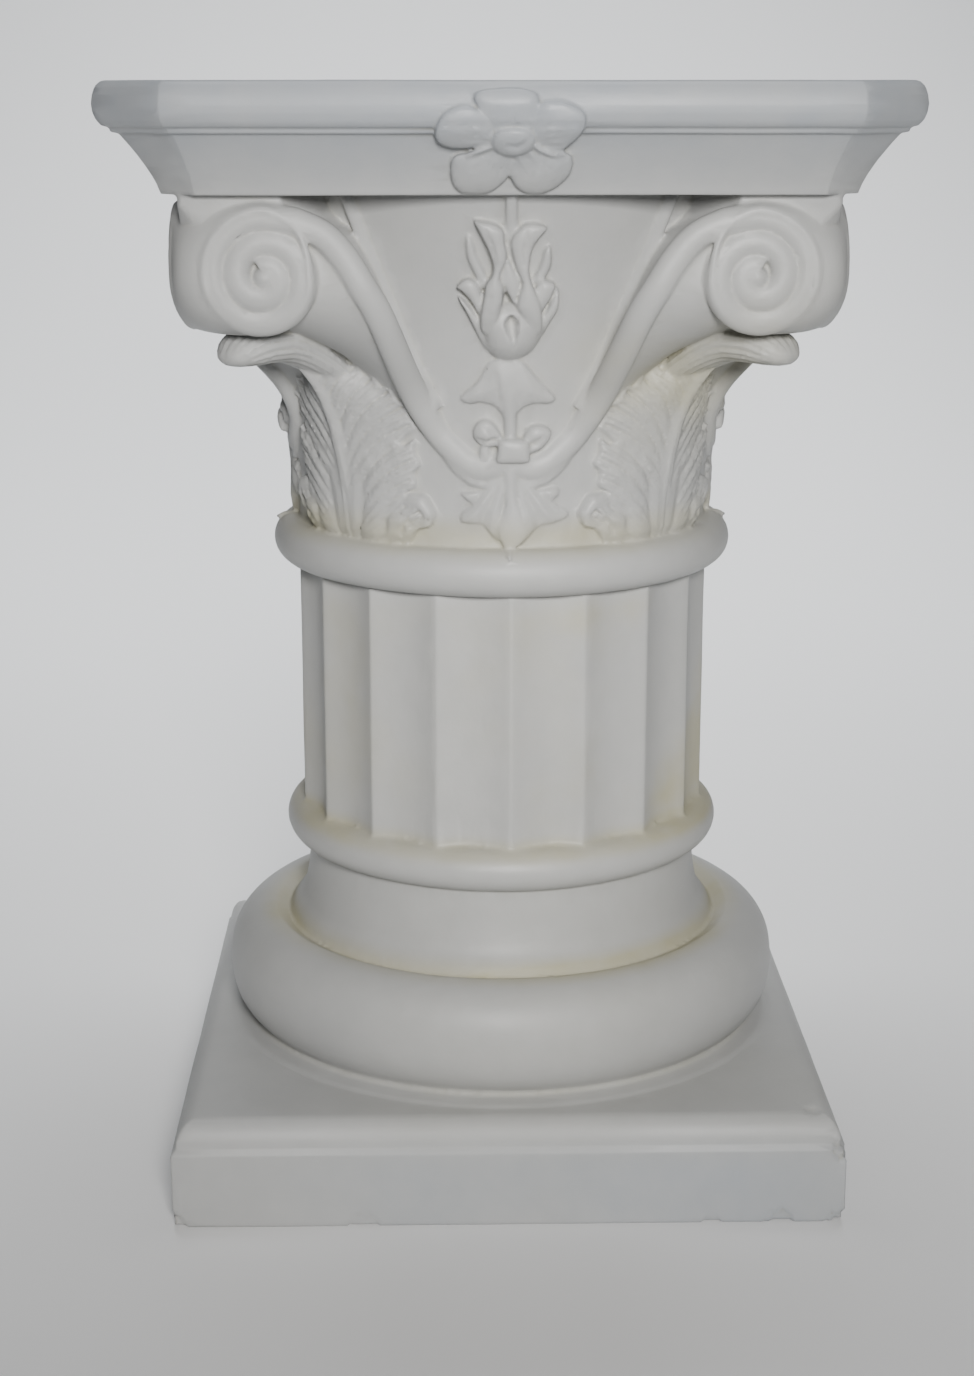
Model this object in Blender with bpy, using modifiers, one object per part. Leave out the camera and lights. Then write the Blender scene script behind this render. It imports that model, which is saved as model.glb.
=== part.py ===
"""A short decorative column, cast in plaster as one piece.

A square plinth carries a torus, a flared neck and a ring. A fluted shaft stands on the ring.
Above its astragal a bell-shaped capital has four corner volutes, four acanthus leaves and, on
each face, a hanging garland of flower, bud, bow and leaf. A moulded square abacus closes the top.

Metres, +Z up. The origin is the centre of the underside, and the front face looks along -Y.
"""

import math

import bmesh
import bpy
from mathutils import Matrix, Vector

# Heights, from the floor up
PLINTH_FACE_HEIGHT = 0.0445
PLINTH_BEVEL_HEIGHT = 0.0165
TORUS_HEIGHT = 0.066
CREASE_DEPTH = 0.005
NECK_HEIGHT = 0.0445
RING_HEIGHT = 0.024
SHAFT_HEIGHT = 0.1445
ASTRAGAL_HEIGHT = 0.026
BELL_HEIGHT = 0.189
ABACUS_HEIGHT = 0.055

# Half widths of what is square
PLINTH_HALF = 0.185
PLINTH_TOP_HALF = 0.171
FACE_HALF = 0.175
ABACUS_HALF = 0.206
ABACUS_CORNER_CUT = 0.037

# Radii of what is round
TORUS_RADIUS = 0.165
CREASE_RADIUS = 0.1285
NECK_RADIUS = 0.1155
RING_RADIUS = 0.129
SHAFT_RADIUS = 0.120
ASTRAGAL_RADIUS = 0.133
BELL_FOOT_RADIUS = 0.118
BELL_LIP_RADIUS = 0.162
BELL_FLARE = 2.1

# Flutes of the shaft
FLUTES = 18
FLUTE_DEPTH = 0.0055
FLUTE_STEPS = 4
FLUTE_TURN = math.radians(1.1)

# Abacus moulding: a round nose, a fillet below it and a hollow under that
NOSE_HEIGHT = 0.0225
NOSE_SETBACK = 0.008
NOSE_FILLET = 0.003

# Volutes
VOLUTE_EYE = Vector((124.0, 149.0))
VOLUTE_TOP_RADIUS = 29.0
VOLUTE_TURN = math.radians(850.0)
VOLUTE_LAST_TURN = math.radians(690.0)
VOLUTE_STEPS = 14
ROLL_MARGIN = 4.5
ROLL_SIDES = 14
ROLL_SETBACK = 0.009
STRAP_RADIUS = 0.0084
STRAP_EYE_RADIUS = 0.006
STRAP_TILT = math.radians(45.0)
CORNER_REACH = 0.222

# Corner leaves
LEAF_RELIEF = 0.008
LEAF_EDGE = 0.0022
LEAF_ROOT = 0.006

SEGMENTS = 34
FLAT_ENOUGH = math.radians(7.5)
SINK = 0.008

# The carving of a face is drawn in units of one millimetre at the size above: across from the
# face's middle line, and up from the bell's foot. These scale the drawing to the column.
DRAWN_HALF = 175.0
DRAWN_HEIGHT = 189.0
ACROSS = FACE_HALF / DRAWN_HALF
UP = BELL_HEIGHT / DRAWN_HEIGHT

# The strap that rises from the bow to the top of the volute
STRAP_LINE = (
    (3.0, 42.5), (16.0, 44.5), (27.0, 52.0), (38.0, 64.0), (50.5, 85.0), (66.0, 126.0),
    (75.0, 143.0), (84.0, 158.0), (94.0, 169.0), (107.5, 175.5),
)

PLINTH_TOP = PLINTH_FACE_HEIGHT + PLINTH_BEVEL_HEIGHT
TORUS_TOP = PLINTH_TOP + TORUS_HEIGHT
NECK_FOOT = TORUS_TOP
RING_FOOT = NECK_FOOT + NECK_HEIGHT
SHAFT_FOOT = RING_FOOT + RING_HEIGHT
ASTRAGAL_FOOT = SHAFT_FOOT + SHAFT_HEIGHT
BELL_FOOT = ASTRAGAL_FOOT + ASTRAGAL_HEIGHT
ABACUS_FOOT = BELL_FOOT + BELL_HEIGHT
TOP = ABACUS_FOOT + ABACUS_HEIGHT


def mix(a, b, share):
    return a + (b - a) * share


def ease(value, start, end):
    """0 before start, 1 after end, and a smooth rise between them."""
    share = min(1.0, max(0.0, (value - start) / (end - start)))
    return share * share * (3.0 - 2.0 * share)


def read_line(line, value, along=1, wanted=0):
    """The wanted coordinate of a line of points, where its coordinate along has this value."""
    for first, last in zip(line, line[1:]):
        if value <= last[along]:
            share = (value - first[along]) / (last[along] - first[along])
            return mix(first[wanted], last[wanted], max(0.0, share))
    return line[-1][wanted]


def collection(name, hidden=False):
    made = bpy.data.collections.new(name)
    made.hide_render = hidden
    bpy.context.scene.collection.children.link(made)
    return made


def plaster():
    material = bpy.data.materials.new("plaster")
    material.use_nodes = True
    shader = material.node_tree.nodes["Principled BSDF"]
    shader.inputs["Base Color"].default_value = (0.74, 0.73, 0.70, 1.0)
    shader.inputs["Roughness"].default_value = 0.5
    shader.inputs["Metallic"].default_value = 0.0
    return material


def add_object(name, mesh, into):
    made = bpy.data.objects.new(name, mesh)
    into.objects.link(made)
    if into.hide_render:
        made.hide_render = True
        made.display_type = "WIRE"
    return made


def face_outward(bm):
    bmesh.ops.recalc_face_normals(bm, faces=bm.faces)
    if bm.calc_volume(signed=True) < 0.0:
        bmesh.ops.reverse_faces(bm, faces=bm.faces)


def mesh_from(name, build):
    """A mesh that build(bm) fills."""
    bm = bmesh.new()
    build(bm)
    face_outward(bm)
    mesh = bpy.data.meshes.new(name)
    bm.to_mesh(mesh)
    bm.free()
    return mesh


def flattened(source):
    """The plain mesh of an object with its modifiers or its curve bevel worked in, welded."""
    graph = bpy.context.evaluated_depsgraph_get()
    mesh = bpy.data.meshes.new_from_object(source.evaluated_get(graph))
    mesh.transform(source.matrix_world)
    bm = bmesh.new()
    bm.from_mesh(mesh)
    bmesh.ops.remove_doubles(bm, verts=bm.verts, dist=0.00001)
    face_outward(bm)
    bm.to_mesh(mesh)
    bm.free()
    bpy.data.objects.remove(source)
    return mesh


def loft(sections):
    """A closed solid through rings of points, each with the same count, with a flat cap at each end."""

    def build(bm):
        rings = [[bm.verts.new(point) for point in section] for section in sections]
        for lower, upper in zip(rings, rings[1:]):
            for i, corner in enumerate(lower):
                after = (i + 1) % len(lower)
                bm.faces.new((corner, lower[after], upper[after], upper[i]))
        bm.faces.new(rings[0])
        bm.faces.new(rings[-1])

    return build


def turned(name, profile, into):
    """A solid turned about Z from (radius, height) points that run down its outer side."""
    mesh = bpy.data.meshes.new(name)
    points = [(radius, 0.0, height) for radius, height in profile]
    mesh.from_pydata(points, [(i, i + 1) for i in range(len(points) - 1)], [])
    made = add_object(name, mesh, into)
    screw = made.modifiers.new("turn", "SCREW")
    screw.steps = SEGMENTS
    screw.render_steps = SEGMENTS
    screw.use_merge_vertices = True
    screw.merge_threshold = 0.00005
    return add_object(name, flattened(made), into)


def tube(name, points, radii, sides, into, tilt=0.0):
    """A bar through these points, with its own radius at each of them, its section turned by the tilt."""
    curve = bpy.data.curves.new(name, "CURVE")
    curve.dimensions = "3D"
    curve.bevel_depth = 1.0
    curve.bevel_resolution = max(0, sides // 2 - 2)
    curve.use_fill_caps = True
    spline = curve.splines.new("POLY")
    spline.points.add(len(points) - 1)
    for place, point, radius in zip(spline.points, points, radii):
        place.co = (*point, 1.0)
        place.radius = radius
        place.tilt = tilt
    return add_object(name, flattened(add_object(name, curve, into)), into)


def sheet(name, across, along, place, wall, into):
    """A carved sheet: place(s, t) puts each point of a grid, s from -1 to 1 and t from 0 to 1, and the
    wall is added behind it."""

    mesh = bpy.data.meshes.new(name)
    bm = bmesh.new()
    bmesh.ops.create_grid(bm, x_segments=across, y_segments=along, size=1.0)
    for vertex in bm.verts:
        vertex.co = place(vertex.co.x, (vertex.co.y + 1.0) / 2.0)
    bm.to_mesh(mesh)
    bm.free()
    made = add_object(name, mesh, into)
    shell = made.modifiers.new("wall", "SOLIDIFY")
    shell.thickness = wall
    shell.offset = -1.0
    return add_object(name, flattened(made), into)


def repeat(source, turns, into):
    """Turned copies of an object about the column's axis; the object itself is the first."""
    for turn in turns[1:]:
        copy = add_object(source.name, source.data, into)
        copy.rotation_euler.z = turn
    source.rotation_euler.z = turns[0]


def bell_radius(height):
    share = min(1.0, max(0.0, (height - BELL_FOOT) / BELL_HEIGHT))
    return mix(BELL_FOOT_RADIUS, BELL_LIP_RADIUS, share**BELL_FLARE)


def on_bell(across, up, lift=0.0):
    """A point of the front face's drawing laid on the bell, lifted off it by so many metres."""
    height = BELL_FOOT + up * UP
    radius = bell_radius(height)
    angle = math.asin(max(-0.99, min(0.99, across * ACROSS / radius)))
    reach = radius + lift
    return Vector((reach * math.sin(angle), -reach * math.cos(angle), height))


def shoulder_radius(angle, up):
    """The reach of the corner's shoulder, at this angle from the front and this height in the drawing. It
    leaves the bell at the strap's foot and squares out to the volutes' faces and the cut corner."""
    toward_corner = min(1.0, max(0.0, (math.degrees(angle) - 20.0) / 25.0))
    rise = ease(up, mix(58.0, 106.0, toward_corner), mix(150.0, 138.0, toward_corner))
    squared = min((FACE_HALF - ROLL_SETBACK) / math.cos(angle), CORNER_REACH)
    return mix(bell_radius(BELL_FOOT + up * UP), squared, rise)


def shoulder_angle(across, up):
    angle = 0.5
    for _ in range(20):
        angle = math.asin(min(0.99, across * ACROSS / shoulder_radius(angle, up)))
    return angle


def on_shoulder(across, up, lift=0.0):
    """A point of the drawing laid on the shoulder of the front face's right half."""
    angle = shoulder_angle(across, up)
    reach = shoulder_radius(angle, up) + lift
    return Vector((reach * math.sin(angle), -reach * math.cos(angle), BELL_FOOT + up * UP))


def half_round(radius, foot, height, steps):
    """Profile points of a bead that bulges to this radius, from its top to its foot."""
    tube_radius = height / 2.0
    for i in range(steps + 1):
        angle = math.pi / 2.0 - math.pi * i / steps
        yield (
            radius - tube_radius + tube_radius * math.cos(angle),
            foot + tube_radius + tube_radius * math.sin(angle),
        )


def turned_body(into):
    """The bell, the astragal, the core of the shaft, the ring, the neck and the torus, turned as one."""
    core = SHAFT_RADIUS - FLUTE_DEPTH - 0.006
    profile = [(0.0, ABACUS_FOOT + SINK), (BELL_LIP_RADIUS, ABACUS_FOOT + SINK)]
    for i in range(5):
        height = ABACUS_FOOT - BELL_HEIGHT * i / 4
        profile.append((bell_radius(height), height))
    profile += half_round(ASTRAGAL_RADIUS, ASTRAGAL_FOOT, ASTRAGAL_HEIGHT, 4)
    profile += [(core, ASTRAGAL_FOOT), (core, SHAFT_FOOT)]
    profile += half_round(RING_RADIUS, RING_FOOT, RING_HEIGHT, 4)
    profile += [
        (NECK_RADIUS, RING_FOOT),
        (NECK_RADIUS + 0.001, mix(NECK_FOOT, RING_FOOT, 0.52)),
        (NECK_RADIUS + 0.005, mix(NECK_FOOT, RING_FOOT, 0.22)),
        (CREASE_RADIUS - 0.002, NECK_FOOT + 0.001),
        (CREASE_RADIUS, NECK_FOOT - CREASE_DEPTH),
    ]
    # The torus is fuller than a round: its section is a squared oval
    half = TORUS_HEIGHT / 2.0
    inner = CREASE_RADIUS + 0.006
    for degrees in (84, 57, 30, 3, -27, -58):
        angle = math.radians(degrees)
        across = math.cos(angle) ** 0.85
        up = math.copysign(abs(math.sin(angle)) ** 0.85, angle)
        profile.append((mix(inner, TORUS_RADIUS, across), PLINTH_TOP + half + half * up))
    foot = profile[-1][0]
    profile += [(foot + 0.002, PLINTH_TOP + 0.003), (foot + 0.015, PLINTH_TOP - 0.001)]
    profile += [(foot, PLINTH_TOP - SINK), (0.0, PLINTH_TOP - SINK)]
    return turned("column", profile, into)


def fluted_shaft(into):
    """The shaft, an outline of shallow flutes that meet in sharp edges, drawn up between the rings."""
    curve = bpy.data.curves.new("shaft", "CURVE")
    curve.dimensions = "2D"
    curve.fill_mode = "BOTH"
    foot, head = SHAFT_FOOT - RING_HEIGHT / 2.0, ASTRAGAL_FOOT + ASTRAGAL_HEIGHT / 2.0
    curve.extrude = (head - foot) / 2.0
    spline = curve.splines.new("POLY")
    count = FLUTES * FLUTE_STEPS
    spline.points.add(count - 1)
    for i, place in enumerate(spline.points):
        share = (i % FLUTE_STEPS) / FLUTE_STEPS
        radius = SHAFT_RADIUS - FLUTE_DEPTH * (1.0 - (2.0 * share - 1.0) ** 2)
        angle = 2.0 * math.pi * i / count - math.pi / 2.0 + FLUTE_TURN
        place.co = (radius * math.cos(angle), radius * math.sin(angle), 0.0, 1.0)
    spline.use_cyclic_u = True
    made = add_object("shaft", curve, into)
    made.location.z = (head + foot) / 2.0
    bpy.context.view_layer.update()
    return add_object("shaft", flattened(made), into)


def cut_square(half, cut, height):
    """The eight corners of a square with cut corners."""
    ring = []
    for quarter in range(4):
        spin = Matrix.Rotation(quarter * math.pi / 2.0, 3, "Z")
        ring += [spin @ Vector((half, cut - half, height)), spin @ Vector((half, half - cut, height))]
    return ring


def abacus(into):
    """The square slab, its moulding mitred round the cut corners too."""
    nose = [(0.005, TOP), (0.0015, TOP - NOSE_HEIGHT * 0.18), (0.0, TOP - NOSE_HEIGHT * 0.45)]
    nose += [(0.002, TOP - NOSE_HEIGHT * 0.8), (NOSE_SETBACK, TOP - NOSE_HEIGHT)]
    hollow_top = TOP - NOSE_HEIGHT - NOSE_FILLET
    hollow = []
    for share in (0.0, 0.25, 0.5, 0.75, 1.0):
        setback = mix(NOSE_SETBACK + 0.004, ABACUS_HALF - FACE_HALF, 1.0 - (1.0 - share) ** 1.35)
        hollow.append((setback, mix(hollow_top, ABACUS_FOOT, share)))
    sections = []
    for setback, height in nose + hollow:
        # A mitred moulding set back by so much loses this much of its corner cut
        cut = ABACUS_CORNER_CUT - setback * (2.0 - math.sqrt(2.0))
        sections.append(cut_square(ABACUS_HALF - setback, cut, height))
    return add_object("abacus", mesh_from("abacus", loft(sections)), into)


def plinth(into):
    """The square foot, with a hollow bevel round its top."""

    def square(half, height):
        return [(half, -half, height), (half, half, height), (-half, half, height), (-half, -half, height)]

    hollow = mix(PLINTH_HALF, PLINTH_TOP_HALF, 0.62)
    sections = [
        square(PLINTH_HALF, 0.0),
        square(PLINTH_HALF, PLINTH_FACE_HEIGHT),
        square(hollow, PLINTH_FACE_HEIGHT + PLINTH_BEVEL_HEIGHT * 0.42),
        square(PLINTH_TOP_HALF, PLINTH_TOP),
    ]
    return add_object("plinth", mesh_from("plinth", loft(sections)), into)


def spiral(turn, margin=0.0):
    """Across and up of the middle of the volute's strap, turned so far in from its top."""
    radius = VOLUTE_TOP_RADIUS * (1.0 - turn / VOLUTE_TURN) + margin
    angle = math.pi / 2.0 - turn
    return VOLUTE_EYE + radius * Vector((math.cos(angle), math.sin(angle)))


def volute_shoulder(into):
    """The solid shoulder under a corner of the abacus, a stack of plan sections whose front edge is the
    strap's line."""
    inside = Vector((0.05, -0.05))
    edge = STRAP_LINE + ((112.0, 183.0), (115.0, DRAWN_HEIGHT + 5.0))
    sections = []
    for up in (44.5, 63.0, 86.0, 104.0, 122.0, 141.0, 158.0, 174.0, DRAWN_HEIGHT + 5.0):
        start = shoulder_angle(read_line(edge, up), up)
        ring = []
        for share in (0.0, 0.35, 0.68, 0.92):
            angle = mix(start, math.pi / 4.0, share)
            reach = shoulder_radius(angle, up)
            ring.append(Vector((reach * math.sin(angle), -reach * math.cos(angle))))
        mirrored = [Vector((-point.y, -point.x)) for point in reversed(ring)]
        height = BELL_FOOT + up * UP
        sections.append([(point.x, point.y, height) for point in ring + mirrored + [inside]])
    return add_object("shoulder", mesh_from("shoulder", loft(sections)), into)


def volute_roll(into):
    """The body of a corner's scroll, ruled between its outlines on the two faces."""
    face = FACE_HALF - ROLL_SETBACK + 0.002
    rims = []
    for shrink, back in ((5.0, 0.0), (0.0, 0.009)):
        ring = []
        for i in range(ROLL_SIDES):
            turn = 2.0 * math.pi * i / ROLL_SIDES
            # Past three quarters round, the outline comes back out to where it began
            wound = turn * (1.0 - ease(turn, 1.5 * math.pi, 2.0 * math.pi))
            reach = (spiral(wound) - VOLUTE_EYE).length + ROLL_MARGIN - shrink
            across = (VOLUTE_EYE.x + reach * math.sin(turn)) * ACROSS
            height = BELL_FOOT + (VOLUTE_EYE.y + reach * math.cos(turn)) * UP
            ring.append(Vector((across, back - face, height)))
        rims.append(ring)
    across_corner = [[Vector((-point.y, -point.x, point.z)) for point in ring] for ring in rims]
    sections = [rims[0], rims[1], across_corner[1], across_corner[0]]
    return add_object("roll", mesh_from("roll", loft(sections)), into)


def mirrored_mesh(source):
    """The same mesh on the face's other half."""
    mesh = source.data.copy()
    mesh.transform(Matrix.Scale(-1.0, 4, (1.0, 0.0, 0.0)))
    mesh.flip_normals()
    return mesh


def strap(into):
    """The raised border that hangs between a face's two volutes, and winds into the eye of each."""
    half = [on_shoulder(across, up) for across, up in STRAP_LINE]
    radii = [STRAP_RADIUS] * len(half)
    for i in range(VOLUTE_STEPS + 1):
        share = (i / VOLUTE_STEPS) ** 0.9
        across, up = spiral(VOLUTE_LAST_TURN * share)
        half.append(Vector((across * ACROSS, ROLL_SETBACK - FACE_HALF, BELL_FOOT + up * UP)))
        radii.append(mix(STRAP_RADIUS, STRAP_EYE_RADIUS, share))
    other_half = [Vector((-point.x, point.y, point.z)) for point in reversed(half)]
    return tube("strap", other_half + half, radii[::-1] + radii, 4, into, STRAP_TILT)


def corner_leaf(into):
    """The blade of the acanthus leaf on the front right corner: level sections that fan out over the bell
    and draw in under the volute, with folds that run up it."""
    sections = []
    # Height in the drawing, half width round the bell and how far the middle stands off it
    for up, half, out in (
        (-3.0, 40.0, 1.0), (8.0, 52.0, 3.5), (17.0, 55.0, 4.5), (28.0, 44.0, 5.0), (47.0, 46.0, 7.0),
        (63.0, 45.0, 9.5), (77.0, 42.0, 13.0), (86.0, 31.0, 17.0), (93.0, 19.0, 21.0), (98.0, 8.0, 25.0),
    ):
        ring = []
        height = BELL_FOOT + up * UP
        for i in range(-4, 5):
            s = i / 4.0
            fold = LEAF_RELIEF * (1.0 - abs(s) ** 1.6) * (0.4 + 0.4 * math.cos(4.0 * math.pi * s))
            reach = bell_radius(height) + LEAF_EDGE + fold + out * 0.001 * (1.0 - abs(s) ** 1.4)
            angle = math.pi / 4.0 + s * half * 0.001 / reach
            ring.append((reach * math.sin(angle), -reach * math.cos(angle), height))
        for s in (0.85, -0.85):
            reach = bell_radius(height) - LEAF_ROOT
            angle = math.pi / 4.0 + s * half * 0.001 / reach
            ring.append((reach * math.sin(angle), -reach * math.cos(angle), height))
        sections.append(ring)
    return add_object("leaf", mesh_from("leaf", loft(sections)), into)


def leaf_tip(into):
    """The leaf's tip, a round tongue that leans out along the corner and curls under the volute."""
    outward = Vector((1.0, -1.0, 0.0)).normalized()
    aside = Vector((1.0, 1.0, 0.0)).normalized()
    # Distance from the axis, height in the drawing, half width, half thickness and lean of each section
    sections = []
    for reach, up, half, thick, lean in (
        (0.120, 86.0, 13.0, 6.0, 50.0), (0.144, 101.0, 16.0, 8.0, 40.0), (0.166, 110.5, 17.0, 8.5, 15.0),
        (0.184, 112.0, 16.0, 8.5, -5.0), (0.197, 109.0, 12.5, 6.5, -25.0), (0.203, 105.5, 6.0, 3.0, -40.0),
    ):
        centre = outward * reach + Vector((0.0, 0.0, BELL_FOOT + up * UP))
        over = math.radians(lean + 90.0)
        across_tip = outward * math.cos(over) + Vector((0.0, 0.0, math.sin(over)))
        ring = []
        for i in range(8):
            angle = math.pi * i / 4.0
            ring.append(
                centre + (half * math.cos(angle) * aside + thick * math.sin(angle) * across_tip) * 0.001
            )
        sections.append(ring)
    return add_object("tip", mesh_from("tip", loft(sections)), into)


def flower(into):
    """A five-petalled flower laid against the abacus, tilted with its hollow."""
    tilt = math.atan2(ABACUS_HALF - FACE_HALF, ABACUS_HEIGHT)
    side = Vector((1.0, 0.0, 0.0))
    rise = Vector((0.0, -math.sin(tilt), math.cos(tilt)))
    out = Vector((0.0, -math.cos(tilt), -math.sin(tilt)))
    centre = Vector((0.0, -mix(FACE_HALF, ABACUS_HALF, 0.56), ABACUS_FOOT + ABACUS_HEIGHT * 0.475))
    petals = 5
    sides = petals * 3

    def ring(share, lift, dip):
        points = []
        for i in range(sides):
            angle = 2.0 * math.pi * i / sides
            lobe = abs(math.cos(petals / 2.0 * angle)) ** 0.55
            radius = 0.031 * share * mix(1.0, 0.64 + 0.36 * lobe, min(1.0, share * 1.3))
            height = lift - dip * (1.0 - lobe)
            flat = radius * (math.sin(angle) * 1.17 * side + math.cos(angle) * rise)
            points.append(centre + flat + height * out)
        return points

    sections = [
        ring(0.6, -0.014, 0.0),
        ring(1.0, 0.002, 0.0),
        ring(0.72, 0.007, 0.0062),
        ring(0.27, 0.004, 0.0),
        ring(0.2, 0.0105, 0.0),
    ]
    return add_object("flower", mesh_from("flower", loft(sections)), into)


def bud(into):
    """A closed bud: a rounded cup with pointed petals that part at the top."""
    sections = []
    for up, half, lift in (
        (99.0, 4.0, 0.006), (104.0, 12.0, 0.012), (114.0, 17.0, 0.017),
        (128.0, 17.0, 0.017), (143.0, 13.0, 0.012), (160.0, 5.0, 0.005),
    ):
        ring = [on_bell(-half * 0.8, up, -0.006), on_bell(half * 0.8, up, -0.006)]
        for i in range(5):
            angle = math.pi * i / 4
            ring.append(on_bell(half * math.cos(angle), up, lift * math.sin(angle)))
        sections.append(ring)
    return add_object("bud", mesh_from("bud", loft(sections)), into)


def bud_petals(into):
    """The petals of one half of the bud, each a bar that thins to its tip."""
    made = []
    for line in (
        ((14.0, 112.0, 0.006, 5.0), (20.0, 124.0, 0.006, 4.5), (26.0, 139.0, 0.005, 1.5)),
        ((11.0, 128.0, 0.009, 6.0), (12.0, 148.0, 0.007, 5.0), (17.0, 170.0, 0.005, 1.5)),
    ):
        points = [on_bell(across, up, lift) for across, up, lift, _ in line]
        made.append(tube("petal", points, [radius * 0.001 for *_, radius in line], 4, into))
    return made


def calyx(into):
    """The spread leaf that the bud stands on."""

    def place(s, t):
        half = mix(4.0, 26.0, t**0.8)
        edge = 79.0 + 6.0 * (1.0 - abs(s)) ** 0.7 * t
        up = mix(103.0, edge, t)
        lift = 0.0025 + 0.0045 * (1.0 - s * s)
        return on_bell(-s * half, up, lift)

    return sheet("calyx", 6, 2, place, 0.009, into)


def stems(into):
    """The stalks between the flower, the bud and the bow."""
    upper = [on_bell(0.0, 152.0, 0.004), on_bell(0.0, 172.0, 0.0015), on_bell(0.0, DRAWN_HEIGHT + 4.0, 0.004)]
    lower = [on_bell(0.0, 58.0, 0.003), on_bell(0.0, 70.0, 0.003), on_bell(0.0, 86.0, 0.004)]
    return [
        tube("stalk", upper, [0.0035] * 3, 4, into),
        tube("stalk", lower, [0.0034, 0.0034, 0.0048], 4, into),
    ]


def bow(into):
    """The knot where the straps meet, and one of its two loops."""
    bpy.ops.mesh.primitive_cube_add(size=1.0, location=on_bell(0.0, 54.0, 0.0015))
    knot = bpy.context.object
    knot.scale = (0.0185, 0.016, 0.0155)
    bpy.ops.object.transform_apply(location=True, rotation=False, scale=True)
    bevel = knot.modifiers.new("soft edge", "BEVEL")
    bevel.width = 0.0025
    bevel.segments = 1
    blocks = add_object("knot", flattened(knot), into)
    bpy.ops.mesh.primitive_torus_add(
        major_segments=7, minor_segments=3, major_radius=0.0066, minor_radius=0.0034,
        location=on_bell(14.5, 61.5, 0.002), rotation=(math.radians(90.0), 0.0, math.radians(7.0)),
    )
    loop = add_object("loop", flattened(bpy.context.object), into)
    return blocks, loop


def palmette(into):
    """The leaf that hangs below the bow and laps over the astragal."""
    outline = ((0.0, 5.0), (0.16, 14.0), (0.34, 31.0), (0.48, 22.0), (0.6, 25.0), (0.76, 11.0), (0.86, 8.0),
               (1.0, 1.5))
    astragal_lap = 0.0035

    def place(s, t):
        half = read_line(outline, t, along=0, wanted=1)
        up = mix(43.0, -5.0, t) + 5.0 * abs(s) * (1.0 - t)
        lift = 0.0026 + 0.0032 * (1.0 - s * s)
        lift += astragal_lap * ease(-up, -2.0, 4.0)
        return on_bell(-s * half, up, lift)

    return sheet("palmette", 4, 7, place, 0.008, into)


def carve(into):
    """Everything that is carved on the capital, on its four faces and corners."""
    quarters = [quarter * math.pi / 2.0 for quarter in range(4)]
    single = [volute_shoulder(into), volute_roll(into), corner_leaf(into), leaf_tip(into), strap(into)]
    single += [flower(into), bud(into), calyx(into), palmette(into), *stems(into)]
    knot, loop = bow(into)
    single.append(knot)
    paired = [loop, *bud_petals(into)]
    for piece in paired:
        single.append(add_object(piece.name, mirrored_mesh(piece), into))
    for piece in single + paired:
        repeat(piece, quarters, into)


def swap_shared_diagonals(bm):
    """Where two flat faces were cut along one and the same line, cuts one of them the other way, so that no
    edge has more than two faces."""
    for edge in [edge for edge in bm.edges if len(edge.link_faces) == 4]:
        ends = edge.verts
        choices = []
        for one in edge.link_faces:
            for two in edge.link_faces:
                tip_one, tip_two = (next(v for v in face.verts if v not in ends) for face in (one, two))
                if tip_one is tip_two or bm.edges.get((tip_one, tip_two)):
                    continue
                facing = one.normal + two.normal
                line = tip_two.co - tip_one.co
                sides = [line.cross(end.co - tip_one.co).dot(facing) for end in ends]
                if sides[0] * sides[1] < 0.0:
                    choices.append((one.normal.dot(two.normal), one, two, tip_one, tip_two, facing))
        _, one, two, tip_one, tip_two, facing = max(choices, key=lambda choice: choice[0])
        bm.faces.remove(one)
        bm.faces.remove(two)
        for end in ends:
            face = bm.faces.new((tip_one, tip_two, end))
            face.normal_update()
            if face.normal.dot(facing) < 0.0:
                face.normal_flip()


def cast_in_one(column, joined, into):
    """The one solid: the carving joined to the turned body, its shut-in pockets filled and faces that lie
    almost flat to each other made one."""
    cast = column.modifiers.new("cast in one", "BOOLEAN")
    cast.operation = "UNION"
    cast.operand_type = "COLLECTION"
    cast.collection = joined
    cast.solver = "EXACT"
    mesh = flattened(column)
    bm = bmesh.new()
    bm.from_mesh(mesh)
    shells, seen = [], set()
    for first in bm.verts:
        if first in seen:
            continue
        shell, reached = [], [first]
        seen.add(first)
        while reached:
            vertex = reached.pop()
            shell.append(vertex)
            for edge in vertex.link_edges:
                other = edge.other_vert(vertex)
                if other not in seen:
                    seen.add(other)
                    reached.append(other)
        shells.append(shell)
    shells.sort(key=len)
    pockets = [vertex for shell in shells[:-1] for vertex in shell]
    bmesh.ops.delete(bm, geom=pockets, context="VERTS")
    bmesh.ops.dissolve_limit(bm, angle_limit=FLAT_ENOUGH, verts=bm.verts, edges=bm.edges)
    bmesh.ops.triangulate(bm, faces=bm.faces, ngon_method="BEAUTY")
    swap_shared_diagonals(bm)
    bm.to_mesh(mesh)
    bm.free()
    solid = add_object("column", mesh, into)
    return solid


def main():
    for old in list(bpy.data.objects):
        bpy.data.objects.remove(old)
    shown = collection("decorative_column")
    joined = collection("carving_and_mouldings", hidden=True)
    body = turned_body(shown)
    fluted_shaft(joined)
    abacus(joined)
    plinth(joined)
    carve(joined)
    column = cast_in_one(body, joined, shown)
    column.data.materials.append(plaster())
    column.data.shade_smooth()
    column.data.set_sharp_from_angle(angle=math.radians(35.0))


main()
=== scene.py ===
"""Looks of a plaster display column: one casting with a plinth, a fluted shaft and a carved capital.

The add-on builds the casting in its regions, fuses them as plaster would, ages the surface and sets
a stage. Heights and widths are in metres; the carving of the capital is drawn in millimetres on the
bell, as across from a face's middle line and up from the bell's foot.
"""

import math

import bmesh
import bpy
import numpy as np
from bpy.props import FloatProperty, FloatVectorProperty, IntProperty, PointerProperty
from mathutils import Matrix, Vector


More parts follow.
